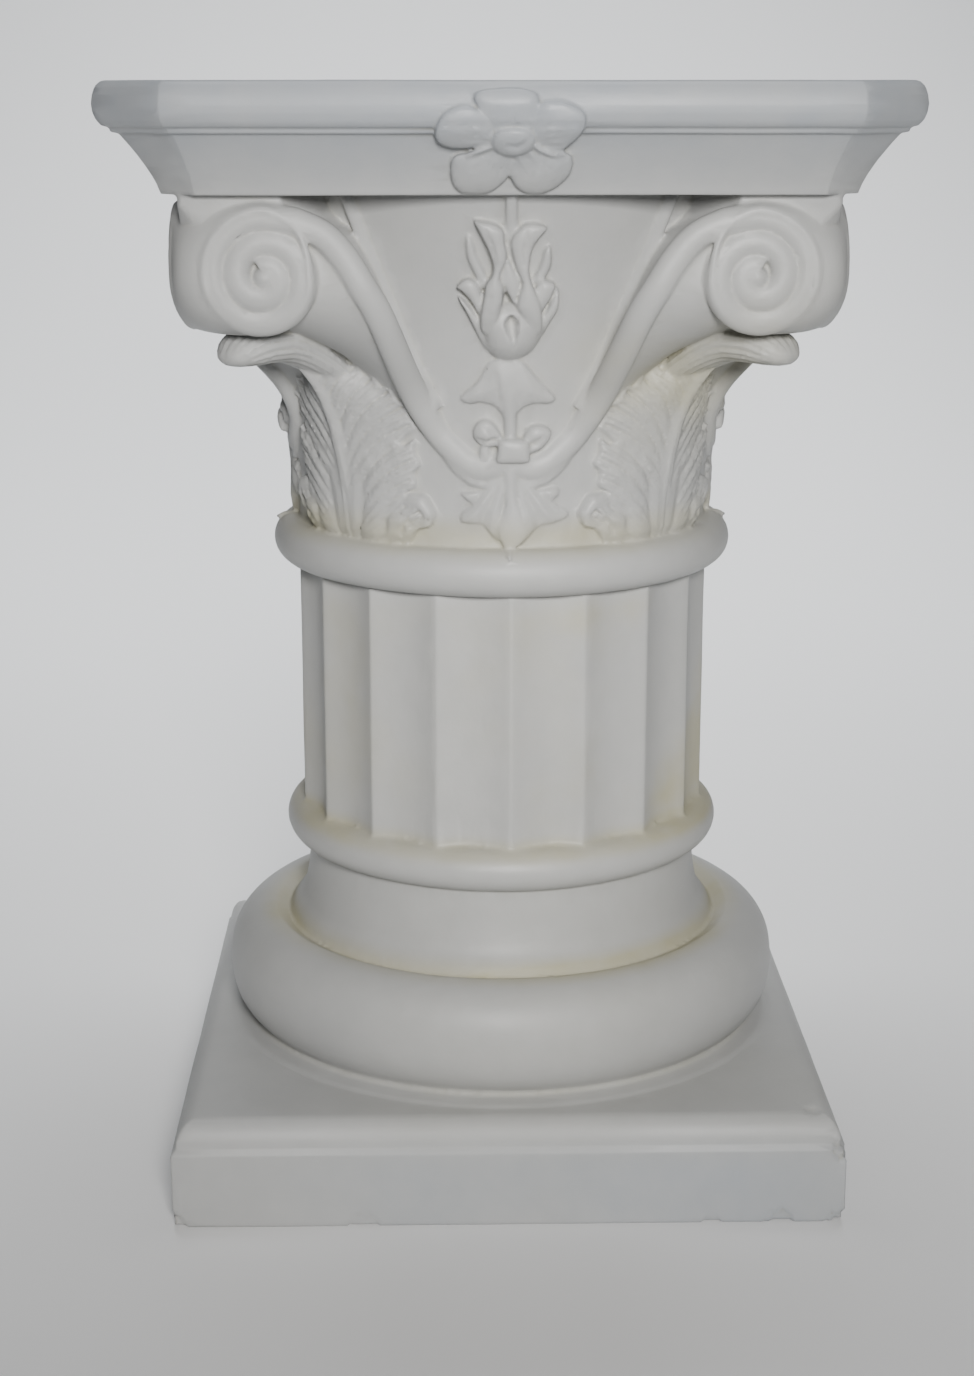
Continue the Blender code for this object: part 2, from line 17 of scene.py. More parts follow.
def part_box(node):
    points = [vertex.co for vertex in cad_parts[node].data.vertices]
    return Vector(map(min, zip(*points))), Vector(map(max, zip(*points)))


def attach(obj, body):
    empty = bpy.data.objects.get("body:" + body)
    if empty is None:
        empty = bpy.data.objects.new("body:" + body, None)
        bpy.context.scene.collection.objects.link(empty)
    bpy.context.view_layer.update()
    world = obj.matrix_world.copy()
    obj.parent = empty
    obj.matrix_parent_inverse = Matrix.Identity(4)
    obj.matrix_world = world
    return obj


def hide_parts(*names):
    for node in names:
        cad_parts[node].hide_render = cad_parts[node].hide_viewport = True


bl_info = {
    "name": "Decorative Column",
    "version": (1, 0, 0),
    "blender": (4, 5, 0),
    "location": "View3D > Sidebar > Column",
    "description": "Builds a plaster display column with a fluted shaft and a carved capital",
    "category": "Object",
}

MM = 0.001
PIECE = "plaster_casting"
NODE = "column"

# Drawn lines of the carving, in millimetres: across from the middle of a face, up from the bell's foot
STRAP_LINE = (
    (0.0, 50.5), (6.0, 46.5), (13.0, 44.5), (20.0, 46.5), (27.0, 52.0), (38.0, 64.0), (50.5, 85.0),
    (66.0, 126.0), (75.0, 143.0), (84.0, 158.0), (94.0, 169.0), (107.5, 175.5),
)
RIDGE_LINE = ((37.0, 76.0), (41.5, 84.0), (50.5, 103.0), (61.2, 130.0), (71.5, 158.0), (83.0, 189.0))
LIP_LINE = ((33.0, 51.0), (27.0, 43.0), (20.0, 37.5), (12.0, 35.0), (6.0, 37.0), (1.5, 43.0))

# The bud: a cup and the petals that rise from it, each with its outline, its share of the bud's
# height and its own swell
BUD_CUP = (
    (-14.6, 120.0), (-13.0, 113.0), (-9.5, 106.5), (-2.3, 102.7), (5.0, 103.8), (12.0, 108.0),
    (16.8, 117.0), (16.0, 126.0), (9.0, 133.0), (0.0, 134.0), (-9.0, 131.0), (-14.0, 127.0),
)
BUD_HEIGHT = ((103, 1.0), (112, 5.0), (120, 9.5), (126, 12.0), (132, 12.8), (140, 12.0), (150, 10.2),
              (160, 8.6), (170, 7.0), (177, 5.0))
BUD_PETALS = (
    (((-18.3, 175.8), (-14.0, 175.8), (-8.0, 174.5), (-3.3, 171.0), (-2.5, 165.0), (-1.3, 157.0),
      (-3.5, 151.0), (-4.4, 146.5), (-2.9, 142.0), (-3.2, 134.0), (-5.4, 124.0), (-9.0, 117.0),
      (-13.5, 118.0), (-14.4, 126.0), (-12.6, 138.0), (-11.9, 143.5), (-9.0, 148.5), (-8.6, 154.0),
      (-11.0, 161.0), (-15.0, 169.0)), 1.0, 3.0),
    (((18.4, 172.0), (14.0, 174.5), (8.0, 174.6), (3.5, 171.5), (0.0, 166.0), (0.8, 158.0), (3.0, 150.5),
      (5.4, 143.8), (3.8, 137.0), (3.2, 131.5), (6.0, 126.0), (10.0, 119.0), (15.5, 117.0), (16.0, 126.0),
      (14.5, 134.0), (12.0, 141.0), (10.4, 146.0), (9.6, 152.0), (11.0, 161.0), (14.5, 167.0)), 0.92, 3.0),
    (((-1.3, 156.5), (1.0, 153.0), (4.8, 144.5), (3.5, 137.0), (2.8, 132.0), (-0.5, 137.0), (-2.8, 142.5),
      (-4.2, 147.0)), 0.78, 1.6),
    (((-26.8, 141.3), (-24.0, 144.8), (-20.8, 146.4), (-17.0, 145.0), (-14.5, 141.0), (-13.0, 132.0),
      (-13.5, 124.0), (-16.0, 128.0), (-19.5, 134.5), (-24.0, 139.5)), 0.52, 3.2),
    (((-25.9, 136.2), (-22.5, 135.0), (-15.5, 125.5), (-12.5, 118.0), (-9.5, 110.0), (-12.5, 109.0),
      (-17.0, 118.0), (-21.5, 127.8)), 0.42, 3.0),
    (((-22.0, 168.0), (-19.0, 166.0), (-16.5, 157.5), (-13.0, 150.5), (-10.5, 143.0), (-14.0, 141.0),
      (-17.5, 147.5), (-21.8, 157.0)), 0.28, 1.8),
    (((15.0, 145.6), (19.5, 145.2), (22.8, 142.8), (21.0, 137.0), (17.0, 130.0), (15.3, 124.5),
      (14.0, 117.5), (12.0, 120.0), (12.0, 130.0), (12.0, 140.0)), 0.62, 3.0),
    (((24.6, 141.5), (24.8, 130.8), (21.0, 123.5), (17.0, 116.0), (12.5, 110.5), (12.0, 114.5),
      (15.0, 123.5), (19.0, 131.0), (22.3, 138.0)), 0.45, 2.8),
    (((20.4, 162.5), (17.5, 161.5), (15.0, 152.5), (11.5, 145.0), (15.0, 142.5), (18.0, 146.5),
      (21.0, 153.5)), 0.36, 2.2),
)
CALYX = (
    (-9.7, 102.0), (0.0, 103.5), (6.9, 102.0), (12.0, 96.5), (17.0, 90.5), (24.6, 82.3), (20.9, 79.2),
    (14.5, 79.6), (8.2, 77.6), (5.0, 75.0), (-3.4, 74.4), (-7.1, 78.3), (-14.8, 80.2), (-19.9, 79.2),
    (-25.0, 82.3), (-15.4, 92.0),
)
BOW_LEFT = (
    (-2.5, 58.5), (-4.6, 65.0), (-9.5, 70.6), (-15.0, 70.0), (-18.2, 65.2), (-17.4, 60.0), (-12.4, 56.6),
    (-7.0, 56.4),
)
BOW_RIGHT = ((8.0, 60.0), (9.5, 65.0), (13.5, 67.9), (19.4, 67.2), (22.8, 63.6), (20.8, 58.4),
             (15.8, 53.8), (9.5, 52.8))
KNOT = ((-4.4, 60.4), (3.0, 61.0), (10.2, 59.6), (11.2, 53.5), (10.6, 48.0), (2.0, 47.4), (-6.0, 48.0),
        (-5.6, 54.0))
PALMETTE_LEFT = (
    (-0.5, 40.0), (-6.0, 37.0), (-12.2, 32.2), (-21.0, 30.8), (-25.0, 30.2), (-21.3, 26.3), (-18.6, 24.1),
    (-23.4, 20.2), (-24.8, 14.6), (-14.3, 14.0), (-12.2, 12.6), (-6.0, 5.4), (-1.0, 6.0), (1.0, 20.0),
)
PALMETTE_RIGHT = (
    (3.5, 40.0), (9.0, 36.5), (16.0, 32.0), (25.5, 33.5), (27.5, 29.5), (24.0, 25.5), (33.0, 18.6),
    (24.7, 14.0), (17.0, 12.6), (10.7, 6.0), (6.5, 2.0), (3.0, 6.0), (2.0, 20.0),
)
PALMETTE_RIB = (
    (-1.8, 46.0), (-1.4, 32.0), (-1.8, 22.0), (-5.4, 13.5), (-4.6, 6.5), (-2.8, 3.0), (0.8, -4.6),
    (3.4, 0.0), (8.0, 4.0), (11.6, 8.0), (12.6, 13.0), (7.6, 21.0), (4.6, 31.0), (4.2, 46.0),
)

# The flower, from its middle: each petal's outline, edge height and swell
FLOWER_PETALS = (
    (((-8.0, 4.0), (-14.9, 15.0), (-19.2, 22.5), (-17.5, 26.5), (-12.0, 28.0), (0.0, 28.6), (8.0, 27.2),
      (11.6, 24.0), (11.4, 15.0), (9.0, 4.0)), 3.4, 3.2),
    (((-8.0, 1.0), (-13.0, 13.0), (-19.5, 18.6), (-27.0, 18.8), (-34.2, 14.5), (-37.8, 6.0), (-36.0, -0.4),
      (-27.5, -3.4), (-17.0, -2.4), (-9.0, -1.0)), 4.4, 3.4),
    (((8.0, 2.0), (11.0, 15.0), (13.0, 20.6), (22.0, 21.6), (32.0, 17.4), (34.8, 11.7), (32.0, 3.5),
      (23.0, -5.0), (18.0, -5.0), (11.0, 0.0)), 4.0, 3.2),
    (((-8.0, -1.5), (-14.0, -4.4), (-24.8, -5.8), (-29.6, -9.0), (-30.2, -17.8), (-28.0, -24.6),
      (-23.0, -28.0), (-12.0, -27.4), (-5.5, -23.0), (-1.4, -17.0), (0.0, -7.0)), 2.6, 3.6),
    (((0.5, -7.0), (-0.8, -18.0), (4.0, -26.2), (13.2, -28.0), (22.0, -24.2), (28.6, -16.4), (29.0, -8.0),
      (25.0, -5.4), (15.0, -6.0), (8.0, -1.0)), 2.9, 3.4),
)


def smooth(value, start, end):
    """0 before start, 1 after end, and a soft rise between them."""
    share = np.clip((value - start) / (end - start), 0.0, 1.0)
    return share * share * (3.0 - 2.0 * share)


def mix(a, b, share):
    """A value so far on the way from a to b."""
    return a + (b - a) * share


def spline_through(points, steps):
    """Points on a smooth line through the given ones, so many to each span."""
    points = np.asarray(points, dtype=float)
    padded = np.vstack([2.0 * points[0] - points[1], points, 2.0 * points[-1] - points[-2]])
    line = []
    for before, start, end, after in zip(padded, padded[1:], padded[2:], padded[3:]):
        for t in np.arange(steps) / steps:
            line.append(
                0.5
                * (
                    2.0 * start
                    + (end - before) * t
                    + (2.0 * before - 5.0 * start + 4.0 * end - after) * t**2
                    + (3.0 * start - before - 3.0 * end + after) * t**3
                )
            )
    return np.array(line + [points[-1]])


# Settings


class ColumnBaseSettings(bpy.types.PropertyGroup):
    """The square plinth, the torus, the neck and the lower ring."""

    plinth_half: FloatProperty(name="Plinth Half Width", description="Half the plinth's side",
                               default=0.185, unit="LENGTH")
    plinth_top_half: FloatProperty(name="Plinth Top Half Width",
                                   description="Half the side above its moulding", default=0.171,
                                   unit="LENGTH")
    plinth_face: FloatProperty(name="Plinth Face Height", description="Height of the upright face",
                               default=0.0445, unit="LENGTH")
    plinth_height: FloatProperty(name="Plinth Height", description="Height of its top", default=0.061,
                                 unit="LENGTH")
    torus_radius: FloatProperty(name="Torus Radius", description="Radius at its widest", default=0.165,
                                unit="LENGTH")
    torus_height: FloatProperty(name="Torus Height", description="Height of the torus", default=0.066,
                                unit="LENGTH")
    crease_radius: FloatProperty(name="Crease Radius", description="Where the neck meets the torus",
                                 default=0.1285, unit="LENGTH")
    neck_radius: FloatProperty(name="Neck Radius", description="Radius of the neck under the ring",
                               default=0.1155, unit="LENGTH")
    neck_height: FloatProperty(name="Neck Height", description="From the torus to the ring", default=0.0445,
                               unit="LENGTH")
    ring_radius: FloatProperty(name="Ring Radius", description="Radius of the ring under the shaft",
                               default=0.129, unit="LENGTH")
    ring_height: FloatProperty(name="Ring Height", description="Height of that ring", default=0.024,
                               unit="LENGTH")


class ColumnShaftSettings(bpy.types.PropertyGroup):
    """The fluted shaft and the astragal above it."""

    radius: FloatProperty(name="Radius", description="Radius over the edges between flutes", default=0.120,
                          unit="LENGTH")
    height: FloatProperty(name="Height", description="Height between the rings", default=0.1445,
                          unit="LENGTH")
    flutes: IntProperty(name="Flutes", description="Number of flutes", default=18, min=3)
    flute_depth: FloatProperty(name="Flute Depth", description="Depth at a flute's middle", default=0.0055,
                               unit="LENGTH")
    first_flute: FloatProperty(name="First Edge", description="Angle of the first edge from the front",
                               default=math.radians(1.1), subtype="ANGLE")
    astragal_radius: FloatProperty(name="Astragal Radius", description="Radius of the upper ring",
                                   default=0.133, unit="LENGTH")
    astragal_height: FloatProperty(name="Astragal Height", description="Height of the upper ring",
                                   default=0.026, unit="LENGTH")


class ColumnCapitalSettings(bpy.types.PropertyGroup):
    """The bell, the volutes and their straps."""

    bell_height: FloatProperty(name="Bell Height", description="From the astragal to the abacus",
                               default=0.189, unit="LENGTH")
    bell_foot: FloatProperty(name="Bell Foot Radius", description="Radius on the astragal", default=0.118,
                             unit="LENGTH")
    bell_lip: FloatProperty(name="Bell Lip Radius", description="Radius under the abacus", default=0.162,
                            unit="LENGTH")
    bell_flare: FloatProperty(name="Bell Flare", description="How late the bell spreads", default=2.1)
    face_half: FloatProperty(name="Face Half Width", description="Distance of a volute face from the axis",
                             default=0.175, unit="LENGTH")
    face_setback: FloatProperty(name="Roll Setback",
                                description="Depth of the scroll's ground behind its face",
                                default=0.009, unit="LENGTH")
    corner_reach: FloatProperty(name="Corner Reach", description="Distance of the cut corner from the axis",
                                default=0.222, unit="LENGTH")
    eye_across: FloatProperty(name="Eye Across", description="Eye of a volute from the face's middle",
                              default=0.124, unit="LENGTH")
    eye_up: FloatProperty(name="Eye Up", description="Eye of a volute above the bell's foot", default=0.149,
                          unit="LENGTH")
    volute_radius: FloatProperty(name="Volute Radius", description="Radius of the spiral at its top",
                                 default=0.029, unit="LENGTH")
    volute_turn: FloatProperty(name="Volute Turn", description="Turn in which the spiral would close",
                               default=math.radians(850.0), subtype="ANGLE")
    volute_end: FloatProperty(name="Volute End", description="Turn at which the strap ends",
                              default=math.radians(735.0), subtype="ANGLE")
    foot_setback: FloatProperty(name="Volute Foot Setback",
                                description="How far a volute's foot leans back", default=0.009,
                                unit="LENGTH")
    roll_swell: FloatProperty(name="Roll Swell", description="How far a corner's barrel bulges",
                              default=0.0035, unit="LENGTH")
    strap_half: FloatProperty(name="Strap Half Width", description="Half the width of the strap",
                              default=0.0062, unit="LENGTH")
    strap_rise: FloatProperty(name="Strap Rise", description="How far the strap stands out", default=0.0075,
                              unit="LENGTH")


class ColumnCarvingSettings(bpy.types.PropertyGroup):
    """The leaves, the garlands and the flowers."""

    leaf_edge: FloatProperty(name="Leaf Edge", description="Thickness of a leaf at its edge",
                             default=0.0024, unit="LENGTH")
    leaf_groove: FloatProperty(name="Leaf Groove", description="Depth of the fine grooves", default=0.0024,
                               unit="LENGTH")
    leaf_fold: FloatProperty(name="Leaf Fold", description="Depth of the broad folds", default=0.0015,
                             unit="LENGTH")
    relief: FloatProperty(name="Garland Relief", description="Scale of the garland's height", default=1.0)
    flower_radius: FloatProperty(name="Flower Radius", description="Radius of a flower", default=0.0325,
                                 unit="LENGTH")


class ColumnAbacusSettings(bpy.types.PropertyGroup):
    """The moulded square slab on top."""

    half: FloatProperty(name="Half Width", description="Half the slab's side at its nose", default=0.206,
                        unit="LENGTH")
    height: FloatProperty(name="Height", description="Height of the slab", default=0.055, unit="LENGTH")
    corner_cut: FloatProperty(name="Corner Cut", description="How much each corner loses", default=0.037,
                              unit="LENGTH")
    nose_height: FloatProperty(name="Nose Height", description="Height of the rounded nose", default=0.0225,
                               unit="LENGTH")
    nose_setback: FloatProperty(name="Nose Setback", description="How far the fillet is behind the nose",
                                default=0.008, unit="LENGTH")


class ColumnFinishSettings(bpy.types.PropertyGroup):
    """How the casting is fused, softened and coloured."""

    foot_voxel: FloatProperty(name="Foot Grain", description="Grain at which base and shaft are fused",
                              default=0.0015, unit="LENGTH", precision=5)
    head_voxel: FloatProperty(name="Head Grain", description="Grain at which the capital is fused",
                              default=0.0009, unit="LENGTH", precision=5)
    softening: IntProperty(name="Softening", description="Passes that soften the cast edges", default=1,
                           min=0)
    foot_triangles: IntProperty(name="Foot Triangles", description="Triangles kept below the capital",
                                default=44000)
    head_triangles: IntProperty(name="Head Triangles", description="Triangles kept in the capital",
                                default=150000)
    unevenness: FloatProperty(name="Unevenness", description="Hand-cast unevenness of the surface",
                              default=0.0005, unit="LENGTH", precision=5)
    seed: FloatProperty(name="Seed", description="Seed of the unevenness and the stains", default=3.0)
    paint: FloatVectorProperty(name="Paint", description="The plaster's paint", subtype="COLOR",
                               default=(0.41, 0.41, 0.398), min=0.0, max=1.0)
    stain: FloatVectorProperty(name="Stain", description="Yellowed paint", subtype="COLOR",
                               default=(0.40, 0.37, 0.215), min=0.0, max=1.0)
    # Dust and painted shade: the dark grey that darkens the creases, partly as grey dust and partly as
    # painted shade.
    dust_and_shade: FloatVectorProperty(name="Dust", description="Grey dust in the hollows", subtype="COLOR",
                              default=(0.15, 0.146, 0.125), min=0.0, max=1.0)


class ColumnStageSettings(bpy.types.PropertyGroup):
    """The camera, the floor and the lights."""

    distance: FloatProperty(name="Distance", description="Camera to the column's axis", default=1.3335,
                            unit="LENGTH")
    height: FloatProperty(name="Camera Height", description="Height of the camera", default=0.61,
                          unit="LENGTH")
    aside: FloatProperty(name="Aside", description="How far the camera stands to the left", default=0.0085,
                         unit="LENGTH")
    yaw: FloatProperty(name="Yaw", description="Turn of the camera round the column",
                       default=math.radians(1.2), subtype="ANGLE")
    pitch: FloatProperty(name="Pitch", description="Downward tilt of the camera",
                         default=math.radians(14.807), subtype="ANGLE")
    lens: FloatProperty(name="Lens", description="Focal length for a film 36 mm high", default=60.17)


SETTINGS = {
    "column_base": ColumnBaseSettings,
    "column_shaft": ColumnShaftSettings,
    "column_capital": ColumnCapitalSettings,
    "column_carving": ColumnCarvingSettings,
    "column_abacus": ColumnAbacusSettings,
    "column_finish": ColumnFinishSettings,
    "column_stage": ColumnStageSettings,
}


class Levels:
    """The heights at which the column's regions meet."""

    def __init__(self, scene):
        base, shaft = scene.column_base, scene.column_shaft
        self.plinth = base.plinth_height
        self.torus = self.plinth + base.torus_height
        self.ring = self.torus + base.neck_height
        self.shaft = self.ring + base.ring_height
        self.astragal = self.shaft + shaft.height
        self.bell = self.astragal + shaft.astragal_height
        self.abacus = self.bell + scene.column_capital.bell_height
        self.top = self.abacus + scene.column_abacus.height


# Node graphs


class Socket:
    """A node's output that sums like a number."""

    def __init__(self, graph, output):
        self.graph = graph
        self.output = output

    def math(self, operation, *others):
        values = dict(enumerate((self, *others)))
        return self.graph.add("ShaderNodeMath", {"operation": operation}, values)

    def __add__(self, other):
        return self.math("ADD", other)

    def __mul__(self, other):
        return self.math("MULTIPLY", other)

    def __sub__(self, other):
        return self.math("SUBTRACT", other)

    def __truediv__(self, other):
        return self.math("DIVIDE", other)

    def __pow__(self, other):
        return self.math("POWER", other)

    def __rsub__(self, other):
        return self.graph.add("ShaderNodeMath", {"operation": "SUBTRACT"}, {0: other, 1: self})

    def __rtruediv__(self, other):
        return self.graph.add("ShaderNodeMath", {"operation": "DIVIDE"}, {0: other, 1: self})

    def __neg__(self):
        return self * -1.0

    def __abs__(self):
        return self.math("ABSOLUTE")

    __radd__ = __add__
    __rmul__ = __mul__

    def ramp(self, start, end):
        """0 at start, 1 at end, soft between and held beyond."""
        settings = {"interpolation_type": "SMOOTHSTEP"}
        return self.graph.add("ShaderNodeMapRange", settings,
                              {"Value": self, "From Min": start, "From Max": end})

    def peak(self, middle, spread):
        """1 at the middle, and 0 farther from it than the spread."""
        return abs(self - middle).ramp(spread, 0.0)


class Graph:
    """A node tree that is written as expressions."""

    def __init__(self, tree):
        self.tree = tree

    def add(self, kind, settings=None, inputs=None, out=0):
        node = self.tree.nodes.new(kind)
        for name, value in (settings or {}).items():
            setattr(node, name, value)
        for name, value in (inputs or {}).items():
            if isinstance(value, Socket):
                self.tree.links.new(value.output, node.inputs[name])
            else:
                node.inputs[name].default_value = value
        return Socket(self, node.outputs[out])

    def xyz(self, vector):
        """The three parts of a vector."""
        first = self.add("ShaderNodeSeparateXYZ", None, {0: vector})
        node = first.output.node
        return [Socket(self, output) for output in node.outputs]

    def vector(self, x, y, z):
        return self.add("ShaderNodeCombineXYZ", None, {0: x, 1: y, 2: z})


def geometry_graph(name, wanted):
    """A new geometry tree with a Geometry socket and these named inputs, each with its type and default."""
    tree = bpy.data.node_groups.new(name, "GeometryNodeTree")
    tree.interface.new_socket("Geometry", in_out="INPUT", socket_type="NodeSocketGeometry")
    tree.interface.new_socket("Geometry", in_out="OUTPUT", socket_type="NodeSocketGeometry")
    for label, (kind, default) in wanted.items():
        socket = tree.interface.new_socket(label, in_out="INPUT", socket_type=kind)
        if default is not None:
            socket.default_value = default
    graph = Graph(tree)
    entry = tree.nodes.new("NodeGroupInput")
    inputs = {output.name: Socket(graph, output) for output in entry.outputs if output.name}
    return graph, inputs


def finish_graph(graph, geometry, material):
    """Ends a tree in Realize Instances and Set Material."""
    real = graph.add("GeometryNodeRealizeInstances", None, {0: geometry})
    painted = graph.add("GeometryNodeSetMaterial", None, {"Geometry": real, "Material": material})
    leave = graph.tree.nodes.new("NodeGroupOutput")
    graph.tree.links.new(painted.output, leave.inputs[0])
    return graph.tree


def run_tree(obj, tree, values):
    """Works the tree into the object with these input values; the object comes back as a plain mesh."""
    modifier = obj.modifiers.new(tree.name, "NODES")
    modifier.node_group = tree
    sockets = {item.name: item.identifier for item in tree.interface.items_tree if item.in_out == "INPUT"}
    for label, value in values.items():
        modifier[sockets[label]] = value
    obj.update_tag()
    return plain(obj)


def plain(obj):
    """The object's modifiers worked into a plain mesh of its own."""
    bpy.context.view_layer.update()
    depsgraph = bpy.context.evaluated_depsgraph_get()
    mesh = bpy.data.meshes.new_from_object(
        obj.evaluated_get(depsgraph), preserve_all_data_layers=True, depsgraph=depsgraph
    )
    if not mesh.polygons:
        raise RuntimeError(f"{obj.name} came out empty")
    mesh.transform(obj.matrix_world)
    name = obj.name
    bpy.data.objects.remove(obj)
    return new_object(name, mesh)


def new_object(name, mesh):
    """The mesh as an object in the scene."""
    obj = bpy.data.objects.new(name, mesh)
    bpy.context.scene.collection.objects.link(obj)
    return obj


def new_mesh(name, points, faces):
    """An object from points and the faces between them."""
    mesh = bpy.data.meshes.new(name)
    mesh.from_pydata([tuple(point) for point in points], [], faces)
    mesh.validate()
    return new_object(name, mesh)


def loft(name, sections):
    """A closed solid through sections of the same number of points, flat at both ends."""
    rows, count = len(sections), len(sections[0])
    faces = []
    for row in range(rows - 1):
        for i in range(count):
            after = (i + 1) % count
            faces.append(
                (row * count + i, row * count + after, (row + 1) * count + after, (row + 1) * count + i)
            )
    faces.append(tuple(reversed(range(count))))
    faces.append(tuple((rows - 1) * count + i for i in range(count)))
    return new_mesh(name, np.concatenate([np.asarray(s, dtype=float) for s in sections]), faces)


def slab(name, front, back):
    """A closed solid between two grids of points, each of rows and columns."""
    rows, columns = front.shape[:2]
    number = np.arange(rows * columns).reshape(rows, columns)
    quads = np.stack([number[:-1, :-1], number[:-1, 1:], number[1:, 1:], number[1:, :-1]],
                     axis=-1).reshape(-1, 4)
    behind = quads[:, ::-1] + rows * columns
    rim = np.concatenate([number[0, :], number[1:, -1], number[-1, -2::-1], number[-2:0:-1, 0]])
    after = np.roll(rim, -1)
    sides = np.stack([after, rim, rim + rows * columns, after + rows * columns], axis=-1)
    points = np.concatenate([front.reshape(-1, 3), back.reshape(-1, 3)])
    faces = np.concatenate([quads, behind, sides])
    obj = new_mesh(name, points, faces.tolist())
    outward = bmesh.new()
    outward.from_mesh(obj.data)
    bmesh.ops.recalc_face_normals(outward, faces=outward.faces)
    outward.to_mesh(obj.data)
    outward.free()
    return obj


def turned(name, profile, steps=200):
    """A solid turned about the axis from (radius, height) points down its outer side."""
    mesh = bpy.data.meshes.new(name)
    mesh.from_pydata([(radius, 0.0, height) for radius, height in profile], [],
                     [(i, i + 1) for i in range(len(profile) - 1)])
    obj = new_object(name, mesh)
    screw = obj.modifiers.new("turn", "SCREW")
    screw.steps = steps
    screw.render_steps = steps
    screw.use_merge_vertices = True
    screw.merge_threshold = 0.00005
    return plain(obj)


# Trees


def copies_tree():
    """Copies round the column's axis."""
    graph, inputs = geometry_graph(
        "Copies Around Axis", {
            "Copies": ("NodeSocketInt", 4),
            "First Angle": ("NodeSocketFloat", 0.0),
            "Material": ("NodeSocketMaterial", None),
        },
    )
    points = graph.add("GeometryNodePoints", None, {"Count": inputs["Copies"]})
    index = graph.add("GeometryNodeInputIndex")
    angle = index * (2.0 * math.pi) / inputs["Copies"] + inputs["First Angle"]
    copies = graph.add(
        "GeometryNodeInstanceOnPoints", None,
        {"Points": points, "Instance": inputs["Geometry"], "Rotation": graph.vector(0.0, 0.0, angle)},
    )
    return finish_graph(graph, copies, inputs["Material"])


def flutes_tree():
    """A drum whose side is hollowed into flutes that meet in edges."""
    graph, inputs = geometry_graph(
        "Fluted Drum", {
            "Radius": ("NodeSocketFloat", 0.12),
            "Foot": ("NodeSocketFloat", 0.0),
            "Head": ("NodeSocketFloat", 0.1),
            "Flutes": ("NodeSocketInt", 18),
            "Depth": ("NodeSocketFloat", 0.005),
            "First Edge": ("NodeSocketFloat", 0.0),
            "Steps": ("NodeSocketInt", 24),
            "Material": ("NodeSocketMaterial", None),
        },
    )
    height = inputs["Head"] - inputs["Foot"]
    drum = graph.add(
        "GeometryNodeMeshCylinder", {"fill_type": "NGON"},
        {"Vertices": inputs["Flutes"] * inputs["Steps"], "Side Segments": 60, "Radius": 1.0,
         "Depth": height},
    )
    x, y, z = graph.xyz(graph.add("GeometryNodeInputPosition"))
    # The first vertex lies on the first edge, so that no edge is cut off
    share = (y.math("ARCTAN2", x) / (2.0 * math.pi) + 1.0) * inputs["Flutes"]
    part_way = share.math("FRACT")
    hollow = 1.0 - (part_way * 2.0 - 1.0) ** 2.0
    reach = inputs["Radius"] - inputs["Depth"] * hollow
    place = graph.vector(x * reach, y * reach, z + (inputs["Head"] + inputs["Foot"]) / 2.0)
    cut = graph.add("GeometryNodeSetPosition", None, {"Geometry": drum, "Position": place})
    turn = graph.vector(0.0, 0.0, inputs["First Edge"])
    turned_drum = graph.add("GeometryNodeTransform", None, {"Geometry": cut, "Rotation": turn})
    return finish_graph(graph, turned_drum, inputs["Material"])


def sweep_tree():
    """A bar swept along a curve, its section a squared oval that shrinks with the curve's radius."""
    graph, inputs = geometry_graph(
        "Swept Strap", {
            "Half Width": ("NodeSocketFloat", 0.006),
            "Rise": ("NodeSocketFloat", 0.007),
            "Sides": ("NodeSocketInt", 20),
            "Material": ("NodeSocketMaterial", None),
        },
    )
    circle = graph.add("GeometryNodeCurvePrimitiveCircle", {"mode": "RADIUS"},
                       {"Resolution": inputs["Sides"], "Radius": 1.0})
    x, y, _ = graph.xyz(graph.add("GeometryNodeInputPosition"))
    squared_x = x.math("SIGN") * abs(x) ** 0.92
    squared_y = y.math("SIGN") * abs(y) ** 0.92
    section = graph.add(
        "GeometryNodeSetPosition", None, {
            "Geometry": circle,
            "Position": graph.vector(squared_x * inputs["Half Width"], squared_y * inputs["Rise"], 0.0),
        },
    )
    bar = graph.add("GeometryNodeCurveToMesh", None,
                    {"Curve": inputs["Geometry"], "Profile Curve": section, "Fill Caps": True})
    return finish_graph(graph, bar, inputs["Material"])


